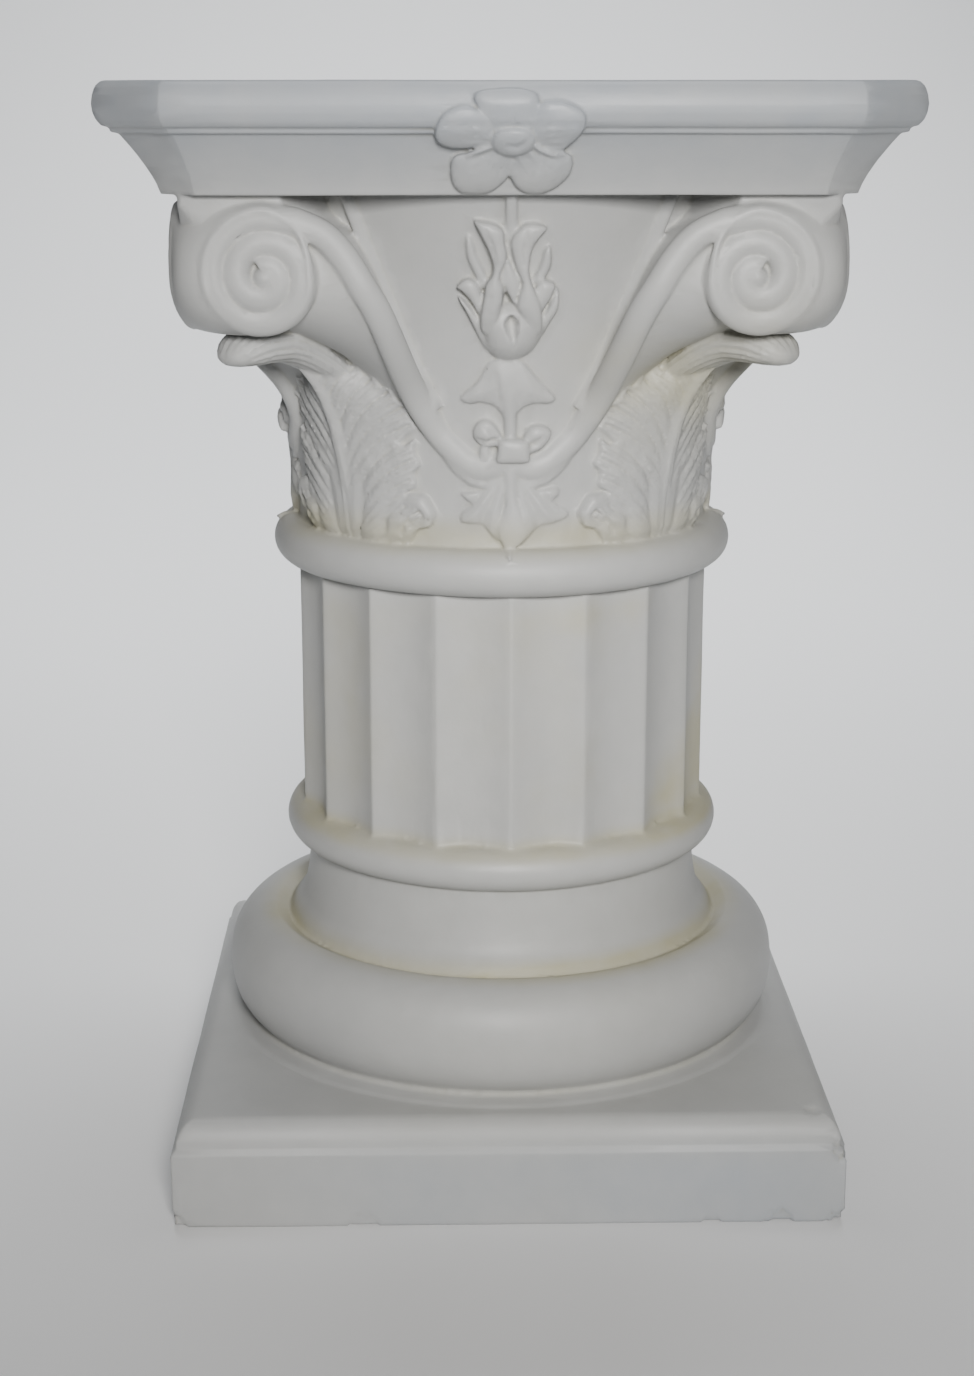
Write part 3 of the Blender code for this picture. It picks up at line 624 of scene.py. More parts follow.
def surface_tree():
    """Hand-cast unevenness, and a measure of how deep each point lies in a crease."""
    graph, inputs = geometry_graph(
        "Cast Surface", {
            "Unevenness": ("NodeSocketFloat", 0.0004),
            "Grain": ("NodeSocketFloat", 14.0),
            "Seed": ("NodeSocketFloat", 0.0),
            "Crease Reach": ("NodeSocketInt", 10),
            "Crease Depth": ("NodeSocketFloat", 0.0012),
            "Material": ("NodeSocketMaterial", None),
        },
    )
    normal = graph.add("GeometryNodeInputNormal")
    position = graph.add("GeometryNodeInputPosition")
    noise = graph.add(
        "ShaderNodeTexNoise", {"noise_dimensions": "4D"},
        {"Vector": position, "W": inputs["Seed"], "Scale": inputs["Grain"], "Detail": 3.0},
    )
    push = graph.add(
        "ShaderNodeVectorMath", {"operation": "SCALE"},
        {0: normal, "Scale": (noise - 0.5) * 2.0 * inputs["Unevenness"]},
    )
    uneven = graph.add("GeometryNodeSetPosition", None, {"Geometry": inputs["Geometry"], "Offset": push})
    blurred = graph.add(
        "GeometryNodeBlurAttribute", {"data_type": "FLOAT_VECTOR"},
        {"Value": graph.add("GeometryNodeInputPosition"), "Iterations": inputs["Crease Reach"]},
    )
    apart = graph.add(
        "ShaderNodeVectorMath", {"operation": "SUBTRACT"},
        {0: blurred, 1: graph.add("GeometryNodeInputPosition")}
    )
    depth = graph.add(
        "ShaderNodeVectorMath", {"operation": "DOT_PRODUCT"},
        {0: apart, 1: graph.add("GeometryNodeInputNormal")},
        out=1,
    )
    stored = graph.add(
        "GeometryNodeStoreNamedAttribute", {"data_type": "FLOAT", "domain": "POINT"},
        {"Geometry": uneven, "Name": "crease", "Value": depth / inputs["Crease Depth"]},
    )
    return finish_graph(graph, stored, inputs["Material"])


# The bell and what is laid on it


class Bell:
    """The capital's surfaces, on which the carving is drawn."""

    def __init__(self, scene):
        self.s = scene.column_capital
        self.levels = Levels(scene)
        self.astragal_radius = scene.column_shaft.astragal_radius
        self.astragal_half = scene.column_shaft.astragal_height / 2.0
        self.ground = self.s.face_half - self.s.face_setback

    def radius(self, up):
        """Reach of the bell, or of the astragal below it, at a drawn height."""
        share = np.clip(up * MM / self.s.bell_height, 0.0, 1.0)
        bell = mix(self.s.bell_foot, self.s.bell_lip, share**self.s.bell_flare)
        below = np.clip(1.0 - ((up * MM + self.astragal_half) / self.astragal_half) ** 2, 0.0, 1.0)
        astragal = self.astragal_radius - self.astragal_half * (1.0 - np.sqrt(below))
        return np.where(up < 0.0, np.maximum(bell, astragal), bell)

    def lay(self, across, up, lift):
        """Points of the front face's drawing on the bell, lifted by so many metres."""
        across, up, lift = np.broadcast_arrays(across, up, lift)
        radius = self.radius(up)
        angle = np.arcsin(np.clip(across * MM / radius, -0.99, 0.99))
        reach = radius + lift
        return np.stack(
            [reach * np.sin(angle), -reach * np.cos(angle), self.levels.bell + up * MM], axis=-1
        )

    def shoulder_radius(self, angle, up):
        """Reach of the shoulder that squares the bell out to the volutes."""
        toward_corner = np.clip((np.degrees(angle) - 20.0) / 25.0, 0.0, 1.0)
        rise = smooth(up, mix(58.0, 106.0, toward_corner), mix(150.0, 138.0, toward_corner))
        corner = self.s.corner_reach + 0.013 * smooth(up, 160.0, 190.0)
        squared = np.minimum(self.ground / np.cos(angle), corner)
        return mix(self.radius(up), squared, rise)

    def shoulder_angle(self, across, up):
        """The angle round the axis of a place on the shoulder, drawn so far across."""
        angle = np.full(np.shape(across), 0.5)
        for _ in range(24):
            angle = np.arcsin(np.clip(across * MM / self.shoulder_radius(angle, up), -0.99, 0.99))
        return angle

    def lay_on_shoulder(self, across, up, lift=0.0):
        """Points of the front face's drawing on the shoulder, lifted by so many metres."""
        angle = self.shoulder_angle(across, up)
        reach = self.shoulder_radius(angle, up) + lift
        return np.stack(
            [reach * np.sin(angle), -reach * np.cos(angle), self.levels.bell + up * MM], axis=-1
        )

    def spiral(self, turn, wound, margin, back):
        """Points of a volute at these angles, wound in so far, and so far behind its ground."""
        radius = self.s.volute_radius * (1.0 - wound / self.s.volute_turn) + margin
        below = np.clip(-radius * np.cos(turn) / (self.s.volute_radius + self.s.strap_half), 0.0, 1.0)
        depth = back - self.ground + self.s.foot_setback * below**2.2
        height = self.levels.bell + self.s.eye_up + radius * np.cos(turn)
        return np.stack([self.s.eye_across + radius * np.sin(turn), depth, height], axis=-1)


def rounded(outline, steps=4):
    """A closed line through the points, rounded between them."""
    outline = [tuple(point) for point in outline]
    ends = 2
    line = spline_through(outline[-ends:] + outline + outline[:ends], steps)
    return line[ends * steps : (ends + len(outline)) * steps]


class Relief:
    """A sheet of heights, in millimetres, that bars and patches raise."""

    def __init__(self, left, right, low, high, step=0.55, ground=-1.6):
        self.across, self.up = np.meshgrid(np.arange(left, right, step), np.arange(low, high, step))
        self.height = np.full(self.across.shape, ground)

    def along(self, line):
        """For each span of a line: the points' distance from it, and their share of the way along it."""
        for start, end in zip(line, line[1:]):
            span = np.array(end[:2]) - np.array(start[:2])
            offset_x, offset_y = self.across - start[0], self.up - start[1]
            length = max(1e-9, float(span @ span))
            share = np.clip((offset_x * span[0] + offset_y * span[1]) / length, 0.0, 1.0)
            yield start, end, share, np.hypot(offset_x - share * span[0], offset_y - share * span[1])

    def bar(self, line, bend=2.0):
        """Raises a rounded bar along (across, up, half width, height) points."""
        for start, end, share, away in self.along(line):
            width = mix(start[2], end[2], share)
            inside = np.clip(1.0 - (away / width) ** bend, 0.0, None) ** (1.0 / bend)
            raised = np.where(away < width, mix(start[3], end[3], share) * inside, -10.0)
            self.height = np.maximum(self.height, raised)

    def groove(self, line):
        """Presses a rounded groove along (across, up, half width, depth) points."""
        pressed = np.zeros(self.height.shape)
        for start, end, share, away in self.along(line):
            inside = np.clip(1.0 - (away / mix(start[2], end[2], share)) ** 2, 0.0, 1.0)
            pressed = np.maximum(pressed, mix(start[3], end[3], share) * inside)
        self.height = np.where(self.height > 0.0, np.maximum(self.height - pressed, 0.2), self.height)

    def patch(self, outline, edge, swell, softness, cut=0.0):
        """Raises a sheet inside an outline: its edge height, swelling inwards, less what is cut."""
        line = rounded(outline)
        inside = np.zeros(self.height.shape, dtype=bool)
        nearest = np.full(self.height.shape, 1e9)
        closed = np.vstack([line, line[:1]])
        for start, end, _, away in self.along(closed):
            nearest = np.minimum(nearest, away)
            if start[1] != end[1]:
                crosses = (start[1] > self.up) != (end[1] > self.up)
                where = start[0] + (self.up - start[1]) * (end[0] - start[0]) / (end[1] - start[1])
                inside ^= crosses & (self.across < where)
        lift = edge * np.clip(nearest / 0.8, 0.0, 1.0) ** 0.5 + swell * (1.0 - np.exp(-nearest / softness))
        lift = lift - cut * np.clip(nearest / 2.0, 0.0, 1.0)
        self.height = np.where(inside, np.maximum(self.height, lift), self.height)


# The regions of the casting


def plinth_region(scene):
    """The square foot, its top edge a rounded moulding."""
    s = scene.column_base
    rise = s.plinth_height - s.plinth_face
    inset = s.plinth_half - s.plinth_top_half
    profile = [(s.plinth_half - 0.0015, 0.0), (s.plinth_half, 0.0015),
               (s.plinth_half, s.plinth_face - 0.001), (s.plinth_half - 0.001, s.plinth_face)]
    for share in np.linspace(0.0, 1.0, 9):
        angle = share * math.pi / 2.0
        profile.append((s.plinth_half - 0.0022 - (inset - 0.0022) * (1.0 - math.cos(angle)),
                        s.plinth_face + rise * (0.06 + 0.94 * math.sin(angle) ** 1.1)))
    corners = ((1, -1), (1, 1), (-1, 1), (-1, -1))
    sections = [[(x * half, y * half, height) for x, y in corners] for half, height in profile]
    return loft("plinth", sections)


def bead(radius, foot, height):
    """A ring's rounded profile, from its top down."""
    half = height / 2.0
    for angle in np.linspace(math.pi / 2.0, -math.pi / 2.0, 17):
        yield radius - half + half * math.cos(angle), foot + half + half * math.sin(angle)


def bell_region(scene):
    """The bell and the astragal under it."""
    shaft, capital = scene.column_shaft, scene.column_capital
    levels, bell = Levels(scene), Bell(scene)
    profile = [(0.0, levels.abacus + 0.01), (capital.bell_lip, levels.abacus + 0.01)]
    for up in np.linspace(capital.bell_height / MM, 0.0, 40):
        profile.append((float(bell.radius(up)), levels.bell + up * MM))
    profile += bead(shaft.astragal_radius, levels.astragal, shaft.astragal_height)
    core = shaft.radius - shaft.flute_depth - 0.004
    profile += [(core, levels.astragal), (core, levels.astragal - 0.004), (0.0, levels.astragal - 0.004)]
    return turned("bell", profile)


def base_region(scene):
    """The lower ring, the neck, and the torus with the fillet at its foot."""
    base, shaft, levels = scene.column_base, scene.column_shaft, Levels(scene)
    core = shaft.radius - shaft.flute_depth - 0.006
    profile = [(0.0, levels.shaft - 0.001), (core, levels.shaft - 0.001)]
    profile += bead(base.ring_radius, levels.ring, base.ring_height)
    neck = [
        (base.neck_radius, levels.ring),
        (base.neck_radius + 0.0006, mix(levels.torus, levels.ring, 0.7)),
        (base.neck_radius + 0.0018, mix(levels.torus, levels.ring, 0.45)),
        (base.neck_radius + 0.0048, mix(levels.torus, levels.ring, 0.2)),
        (base.crease_radius - 0.0025, levels.torus + 0.001),
        (base.crease_radius - 0.0003, levels.torus - 0.0035),
        (base.crease_radius, levels.torus - 0.0055),
    ]
    profile += [tuple(point) for point in spline_through(neck, 4)]
    half = base.torus_height / 2.0
    inner = base.crease_radius + 0.006
    for degrees in np.linspace(86.0, -62.0, 26):
        angle = math.radians(degrees)
        across = math.cos(angle) ** 0.85
        up = math.copysign(abs(math.sin(angle)) ** 0.85, angle)
        profile.append((mix(inner, base.torus_radius, across), levels.plinth + half + half * up))
    foot = profile[-1][0]
    cove = [(foot + 0.0002, levels.plinth + 0.0042), (foot + 0.003, levels.plinth + 0.0026),
            (foot + 0.0085, levels.plinth + 0.0017), (foot + 0.0125, levels.plinth + 0.0012),
            (foot + 0.0145, levels.plinth + 0.0002), (foot + 0.018, levels.plinth - 0.0008)]
    profile += [tuple(point) for point in spline_through(cove, 3)]
    profile += [(foot, levels.plinth - 0.008), (0.0, levels.plinth - 0.008)]
    return turned("base", profile)


def shaft_region(scene, material):
    """The fluted drum between the two rings."""
    shaft, levels = scene.column_shaft, Levels(scene)
    blank = new_mesh("shaft", [(0, 0, 0), (1, 0, 0), (0, 1, 0)], [(0, 1, 2)])
    values = {
        "Radius": shaft.radius,
        "Foot": levels.shaft - scene.column_base.ring_height / 2.0,
        "Head": levels.astragal + shaft.astragal_height / 2.0,
        "Flutes": shaft.flutes,
        "Depth": shaft.flute_depth,
        "First Edge": shaft.first_flute - math.pi / 2.0,
        "Steps": 24,
        "Material": material,
    }
    return run_tree(blank, flutes_tree(), values)


def abacus_region(scene):
    """The slab on top, its moulding mitred round the cut corners."""
    s, levels = scene.column_abacus, Levels(scene)
    face_half = scene.column_capital.face_half
    top, nose = levels.top, s.nose_height
    profile = [(0.0065, top), (0.0045, top - 0.0006), (0.0022, top - nose * 0.12),
               (0.0007, top - nose * 0.3), (0.0, top - nose * 0.5), (0.0005, top - nose * 0.68),
               (0.0022, top - nose * 0.85), (0.0045, top - nose * 0.96), (s.nose_setback, top - nose)]
    hollow_top = top - nose - 0.0028
    profile.append((s.nose_setback + 0.0004, hollow_top + 0.0006))
    for share in np.linspace(0.0, 1.0, 12):
        curve = 1.0 - (1.0 - share) ** 1.35
        setback = mix(s.nose_setback + 0.0042, s.half - face_half, curve)
        profile.append((setback, mix(hollow_top, levels.abacus, share)))
    sections = []
    for setback, height in profile:
        half = s.half - setback
        cut = s.corner_cut - setback * (2.0 - math.sqrt(2.0))
        ring = []
        for quarter in range(4):
            spin = Matrix.Rotation(quarter * math.pi / 2.0, 3, "Z")
            ring += [spin @ Vector((half, cut - half, height)), spin @ Vector((half, half - cut, height))]
        sections.append(ring)
    return loft("abacus", sections)


def shoulder_region(scene):
    """The solid under a corner of the abacus, from the strap's line round to the corner."""
    bell = Bell(scene)
    top = bell.s.bell_height / MM
    edge = spline_through(STRAP_LINE[2:] + ((114.0, 184.0), (116.0, top + 5.0)), 10)
    edge = edge[np.argsort(edge[:, 1])]
    sections = []
    for up in np.linspace(46.0, top + 5.0, 44):
        start = bell.shoulder_angle(np.interp(up, edge[:, 1], edge[:, 0]), up)
        angles = mix(start, math.pi / 4.0, np.linspace(0.0, 0.97, 16))
        reach = bell.shoulder_radius(angles, up)
        side = np.stack([reach * np.sin(angles), -reach * np.cos(angles)], axis=-1)
        other = -side[::-1, ::-1]
        plan = np.concatenate([side, other, [[0.05, -0.05]]])
        sections.append(np.column_stack([plan, np.full(len(plan), bell.levels.bell + up * MM)]))
    return loft("shoulder", sections)


def roll_region(scene):
    """The body of a corner's scroll: a barrel between its outlines on the two faces."""
    bell = Bell(scene)
    turn = np.linspace(0.0, 2.0 * math.pi, 72, endpoint=False)
    wound = turn * (1.0 - smooth(turn, 1.5 * math.pi, 2.0 * math.pi))
    rim = ((-0.0065, 0.0005), (0.0000, -0.0008), (0.0030, -0.0066), (0.0048, -0.0062), (0.0062, -0.0046))
    sections = [bell.spiral(turn, wound, margin, back) for margin, back in rim]
    other = [np.stack([-ring[:, 1], -ring[:, 0], ring[:, 2]], axis=-1) for ring in reversed(sections)]
    aside = np.clip(np.sin(turn), 0.0, 1.0) * 0.7
    outward = np.stack([aside, -aside, np.cos(turn) * 0.5], axis=-1)
    middle = []
    for share in np.linspace(0.0, 1.0, 12)[1:-1]:
        swell = bell.s.roll_swell * math.sin(math.pi * share) ** 0.8
        middle.append(mix(sections[-1], other[0], share) + swell * outward)
    return loft("roll", sections + middle + other)


def strap_curve(name, points, widths):
    """A curve through the points, its radius the share of the full width there."""
    curve = bpy.data.curves.new(name, "CURVE")
    curve.dimensions = "3D"
    curve.twist_mode = "MINIMUM"
    spline = curve.splines.new("POLY")
    spline.points.add(len(points) - 1)
    for place, point, width in zip(spline.points, points, widths):
        place.co = (*point, 1.0)
        place.radius = width
    obj = bpy.data.objects.new(name, curve)
    bpy.context.scene.collection.objects.link(obj)
    return obj


def strap_region(scene, material):
    """The strap that hangs between a face's volutes and winds into their eyes."""
    bell = Bell(scene)
    line = spline_through(STRAP_LINE, 8)
    sunk = -0.0022 * smooth(line[:, 0], 112.0, 60.0)
    lower = bell.lay_on_shoulder(line[:, 0], line[:, 1], sunk)
    turns = np.linspace(0.0, bell.s.volute_end, 150)
    upper = bell.spiral(turns, turns, 0.0, 0.0)
    half = np.concatenate([lower[1:], upper])
    taper = 1.0 - 0.42 * smooth(turns, math.radians(430), turns[-1])
    widths = np.concatenate([np.ones(len(lower) - 1), taper])
    other = half[::-1] * np.array([-1.0, 1.0, 1.0])
    points = np.concatenate([other, lower[:1], half])
    obj = strap_curve("strap", points, np.concatenate([widths[::-1], [1.0], widths]))
    values = {"Half Width": bell.s.strap_half, "Rise": bell.s.strap_rise, "Sides": 20, "Material": material}
    return run_tree(obj, sweep_tree(), values)


def eyes_region(scene):
    """The buttons in the eyes of a face's volutes, round which the strap's ends curl."""
    bell = Bell(scene)
    half_width, rise = 0.0060, 0.0066
    made = []
    for side in (1.0, -1.0):
        ball = bmesh.new()
        bmesh.ops.create_icosphere(ball, subdivisions=4, radius=1.0)
        for vertex in ball.verts:
            across = bell.s.eye_across - 0.0008 + vertex.co.x * half_width
            up = bell.s.eye_up - 0.0006 + vertex.co.z * half_width
            vertex.co = Vector((side * across, -bell.ground + vertex.co.y * rise, bell.levels.bell + up))
        bmesh.ops.recalc_face_normals(ball, faces=ball.faces)
        mesh = bpy.data.meshes.new("eye")
        ball.to_mesh(mesh)
        ball.free()
        made.append(new_object("eye", mesh))
    return made


RIDGE_HALF, RIDGE_RISE = 0.0027, 0.0036


def ridge_region(scene, material):
    """The thin raised edge of the bell beside each strap, with the knob at its top."""
    bell = Bell(scene)
    line = spline_through(RIDGE_LINE, 8)
    made = []
    for side in (1.0, -1.0):
        points = bell.lay(line[:, 0] * side, line[:, 1], 0.0012)
        widths = np.interp(line[:, 1], [76.0, 100.0, 176.0, 182.0, 190.0], [0.4, 0.8, 1.0, 1.35, 1.5])
        obj = strap_curve("ridge", points, widths)
        values = {"Half Width": RIDGE_HALF, "Rise": RIDGE_RISE, "Sides": 12, "Material": material}
        made.append(run_tree(obj, sweep_tree(), values))
    return made


def garland_region(scene):
    """The bud, its calyx, the bow and the palmette, carved in relief on a face of the bell."""
    bell = Bell(scene)
    relief = Relief(-36.0, 36.0, -9.0, 192.0)
    x, y = relief.across, relief.up
    # Palmette: two leaves whose veins part from the top, and a rib that widens between them
    fan = np.arctan2(x - 1.5, 47.0 - y)
    veins = 1.7 * (0.5 - 0.5 * np.cos(fan * 21.0)) * smooth(np.hypot(x, y - 47.0), 8.0, 22.0)
    relief.patch(PALMETTE_LEFT, 2.4, 2.4, 5.0, veins)
    relief.patch(PALMETTE_RIGHT, 2.2, 2.4, 5.0, veins)
    relief.patch(PALMETTE_RIB, 3.4, 2.4, 3.5, 0.4 * np.abs(np.cos(fan * 9.0)))
    # The lower lip that follows the straps round
    for side in (-1.0, 1.0):
        relief.bar([(side * a, u, 2.4, 2.4) for a, u in LIP_LINE])
    # Calyx and stalks
    folds = 0.9 * (0.5 - 0.5 * np.cos((x + 3.0) * 0.45 + (y - 90.0) * 0.04))
    relief.patch(CALYX, 2.6, 4.4, 7.0, folds * smooth(y, 74.0, 84.0))
    relief.bar([(0.4, 86, 6.0, 6.2), (0.2, 79, 5.2, 5.6), (1.0, 72, 3.6, 4.6), (1.4, 60, 3.2, 4.4),
                (1.6, 54, 3.6, 4.5)])
    relief.bar([(1.0, 150, 3.0, 4.6), (0.6, 172, 3.1, 3.4), (0.2, 191, 3.3, 4.2)], 2.8)
    relief.groove([(-6.2, 96, 1.2, 0.8), (-5.2, 86, 1.2, 1.1), (-3.8, 79, 1.2, 0.9)])
    # Bow: a ribbon's tail, two loops with their hollows, and the knot
    relief.patch([(-14.6, 55.6), (-9.8, 56.0), (-9.2, 48.0), (-14.2, 47.6)], 2.4, 1.2, 2.0)
    relief.patch(BOW_LEFT, 3.6, 3.4, 3.0)
    relief.groove([(-16.2, 61.0, 1.3, 1.4), (-11.0, 58.6, 1.7, 2.6), (-7.2, 60.4, 2.1, 3.6),
                   (-4.8, 60.0, 1.4, 2.4)])
    relief.groove([(-12.2, 66.4, 1.1, 0.9), (-7.6, 63.2, 1.2, 1.6)])
    relief.patch(BOW_RIGHT, 3.4, 3.4, 3.2)
    relief.groove([(10.4, 57.4, 2.0, 3.0), (13.6, 58.2, 2.4, 2.6), (17.4, 61.6, 1.4, 0.9)])
    relief.patch(KNOT, 6.2, 2.6, 2.4)
    # Bud: its cup, then the petals, the nearest of them on the bud's full height
    height = np.interp(y, *zip(*BUD_HEIGHT))
    relief.patch(BUD_CUP, 2.0, 12.5, 5.6)
    for outline, share, swell in BUD_PETALS:
        relief.patch(outline, height * share, swell, 2.6)
    relief.groove([(-12.6, 172.0, 0.9, 0.8), (-8.4, 163.0, 1.2, 1.3), (-6.4, 154.0, 1.1, 1.0)])
    relief.groove([(8.0, 171.0, 0.9, 0.9), (6.6, 162.0, 1.2, 1.3), (6.4, 153.0, 1.0, 0.8)])
    relief.groove([(-8.4, 138.0, 1.0, 0.8), (-9.8, 128.0, 1.1, 1.0), (-10.4, 119.0, 0.8, 0.5)])
    relief.groove([(-4.6, 133.0, 0.9, 1.3), (-5.8, 123.5, 0.9, 0.9)])
    relief.groove([(2.6, 109.0, 0.5, 0.5), (2.2, 114.0, 1.3, 2.6), (1.4, 119.0, 3.2, 6.4),
                   (1.0, 123.0, 4.0, 8.4), (0.9, 125.2, 2.6, 8.0)])
    lift = np.where(relief.height > 0.0, relief.height * scene.column_carving.relief, relief.height) * MM
    return slab("garland", bell.lay(x, y, lift), bell.lay(x, y, -0.006))


LEAF_TOP = (
    (0.0, 104.0), (6.8, 103.0), (12.0, 97.0), (17.6, 97.5), (23.0, 91.5), (29.0, 92.0), (32.5, 86.5),
    (38.0, 86.0), (41.0, 79.5), (46.5, 77.5), (46.0, 70.5), (49.0, 64.5), (42.0, 60.0), (34.0, 50.0),
    (24.0, 40.0), (14.0, 20.0), (11.0, -5.0), (0.0, -5.0),
)
LEAF_MIDDLE = (
    (9.0, -5.0), (12.5, 20.0), (13.5, 33.0), (12.8, 42.0), (16.5, 50.5), (21.0, 49.5), (25.0, 53.5),
    (30.5, 51.5), (36.0, 57.0), (41.0, 55.0), (47.5, 58.5), (47.0, 51.0), (50.0, 45.0), (45.5, 40.5),
    (46.0, 33.0), (39.0, 28.5), (33.0, 20.0), (30.0, 8.0), (27.0, -5.0),
)
LEAF_FOOT = (
    (24.0, -5.0), (26.5, 8.0), (28.5, 17.0), (32.0, 23.5), (40.0, 28.5), (46.5, 28.8), (53.0, 25.0),
    (56.8, 18.0), (54.0, 11.5), (46.5, 9.0), (41.5, 2.0), (33.0, -5.0),
)


# How far the long lines of a leaf's rib run beside its middle
LEAF_ASKEW = 3.0


def leaf_region(scene):
    """An acanthus leaf's blade on a corner: three overlapping ranks of lobes, grooved upwards."""
    bell = Bell(scene)
    carving = scene.column_carving
    fine, fold, edge = carving.leaf_groove / MM, carving.leaf_fold / MM, carving.leaf_edge / MM
    relief = Relief(-60.0, 60.01, -3.0, 106.0, 0.6)
    side, up = np.abs(relief.across), relief.up
    from_middle = relief.across
    relief.across = side

    def grooves(middle_x, middle_y, curl, spacing, phase):
        """Folds and fine grooves that fan out from a point and curl away with distance."""
        reach = np.hypot(side - middle_x, up - middle_y)
        label = np.degrees(np.arctan2(side - middle_x, up - middle_y)) - curl * (reach - 40.0)
        broad = 0.5 - 0.5 * np.cos(2.0 * math.pi * (label - phase) / spacing)
        narrow = 0.5 - 0.5 * np.cos(2.0 * math.pi * (label - phase) / (spacing / 3.0))
        return (fold * (1.0 - broad) ** 2 + fine * (1.0 - narrow) ** 1.5) * smooth(reach, 8.0, 26.0)

    relief.patch(LEAF_TOP, edge, 2.6, 7.0, grooves(-2.0, 16.0, 0.42, 9.0, 4.0))
    relief.patch(LEAF_MIDDLE, edge + 1.3, 3.0, 6.0, grooves(4.0, -6.0, 0.5, 10.0, 14.0))
    relief.patch(LEAF_FOOT, edge + 1.6, 2.6, 5.0, grooves(16.0, -16.0, 0.45, 13.0, 30.0))
    relief.bar([(30, 6, 4.2, 4.6), (32.5, 13, 5.2, 6.4), (37, 14, 5.2, 6.6), (41, 9, 3.6, 4.8)])
    relief.bar([(43, 24, 4.2, 5.0), (49, 24, 5.0, 6.4), (53, 18.5, 4.4, 5.6), (51, 13, 3.0, 4.2)])
    relief.groove([(38, 6, 1.0, 1.2), (38.6, 11, 1.6, 2.2), (42, 15, 1.2, 1.4)])
    relief.groove([(45.5, 17.5, 1.2, 1.6), (48.5, 19.6, 1.6, 2.2), (50.5, 17, 1.0, 1.2)])
    # The smooth rib up the middle, scored with long lines
    width = mix(10.5, 4.0, np.clip(up / 95.0, 0.0, 1.0))
    rib = 5.4 * np.clip(1.0 - (side / width) ** 2.2, 0.0, 1.0) ** 0.8
    rib = rib * mix(0.72, 1.0, smooth(up, 10.0, 60.0))
    lines = 0.5 + 0.5 * np.cos(2.0 * math.pi * (from_middle + LEAF_ASKEW) / width * 2.4)
    height = np.where(rib > 0.0, np.maximum(relief.height, rib - 1.0 * lines), relief.height)
    # The blade leaves the bell toward its top and its middle
    lean = np.interp(
        up, [-3.0, 8.0, 28.0, 47.0, 63.0, 77.0, 86.0, 93.0, 98.0, 106.0],
        [0.5, 1.6, 2.8, 4.3, 6.8, 11.0, 15.5, 20.5, 25.0, 32.0],
    )
    spread = np.interp(up, [-6.0, 20.0, 60.0, 78.0, 88.0, 96.0, 106.0],
                       [55.0, 54.0, 48.0, 44.0, 32.0, 17.0, 10.0])
    lean = lean * np.clip(1.0 - side / spread, 0.0, 1.0) ** 1.4
    lift = (height + lean) * (0.35 + 0.65 * smooth(up, -3.0, 7.0)) * MM
    level = np.maximum(up, 0.0)
    angle = math.pi / 4.0 + from_middle * MM / (bell.radius(level) + 0.006)
    toward = np.minimum(angle, math.pi / 2.0 - angle)
    reach = np.where(height > 0.0, bell.shoulder_radius(toward, level) + lift, bell.radius(level) - 0.003)

    def laid(distance):
        return np.stack(
            [distance * np.sin(angle), -distance * np.cos(angle), bell.levels.bell + up * MM], axis=-1
        )

    return slab("leaf", laid(reach), laid(bell.radius(level) - 0.007))


def tip_region(scene):
    """The leaf's tip, a tongue that curls out under the volute, scored along its curl."""
    levels = Levels(scene)
    outward = np.array([math.sqrt(0.5), -math.sqrt(0.5), 0.0])
    aside = np.array([math.sqrt(0.5), math.sqrt(0.5), 0.0])
    upward = np.array([0.0, 0.0, 1.0])
    path = np.array([
        (0.120, 84.0, 12.0, 6.0, 50.0), (0.144, 100.0, 14.5, 8.0, 40.0), (0.166, 110.0, 16.5, 9.4, 15.0),
        (0.184, 111.5, 17.0, 10.0, -5.0), (0.196, 108.6, 14.5, 8.6, -28.0),
        (0.2030, 104.5, 9.0, 5.4, -48.0), (0.2050, 102.4, 3.0, 1.8, -58.0),
    ])
    sections = []
    angles = np.linspace(0.0, 2.0 * math.pi, 132, endpoint=False)
    scored = 1.0 + 0.055 * np.cos(angles * 18.0)
    squared_x = np.sign(np.cos(angles)) * np.abs(np.cos(angles)) ** 0.85
    squared_y = np.sign(np.sin(angles)) * np.abs(np.sin(angles)) ** 0.85
    for reach, up, half, thick, lean in spline_through(path, 8):
        over = math.radians(lean + 90.0)
        across_tip = outward * math.cos(over) + upward * math.sin(over)
        centre = outward * reach + upward * (levels.bell + up * MM)
        ring = (
            centre
            + (half * squared_x * scored * MM)[:, None] * aside
            + (thick * squared_y * scored * MM)[:, None] * across_tip
        )
        sections.append(ring)
    return loft("tip", sections)


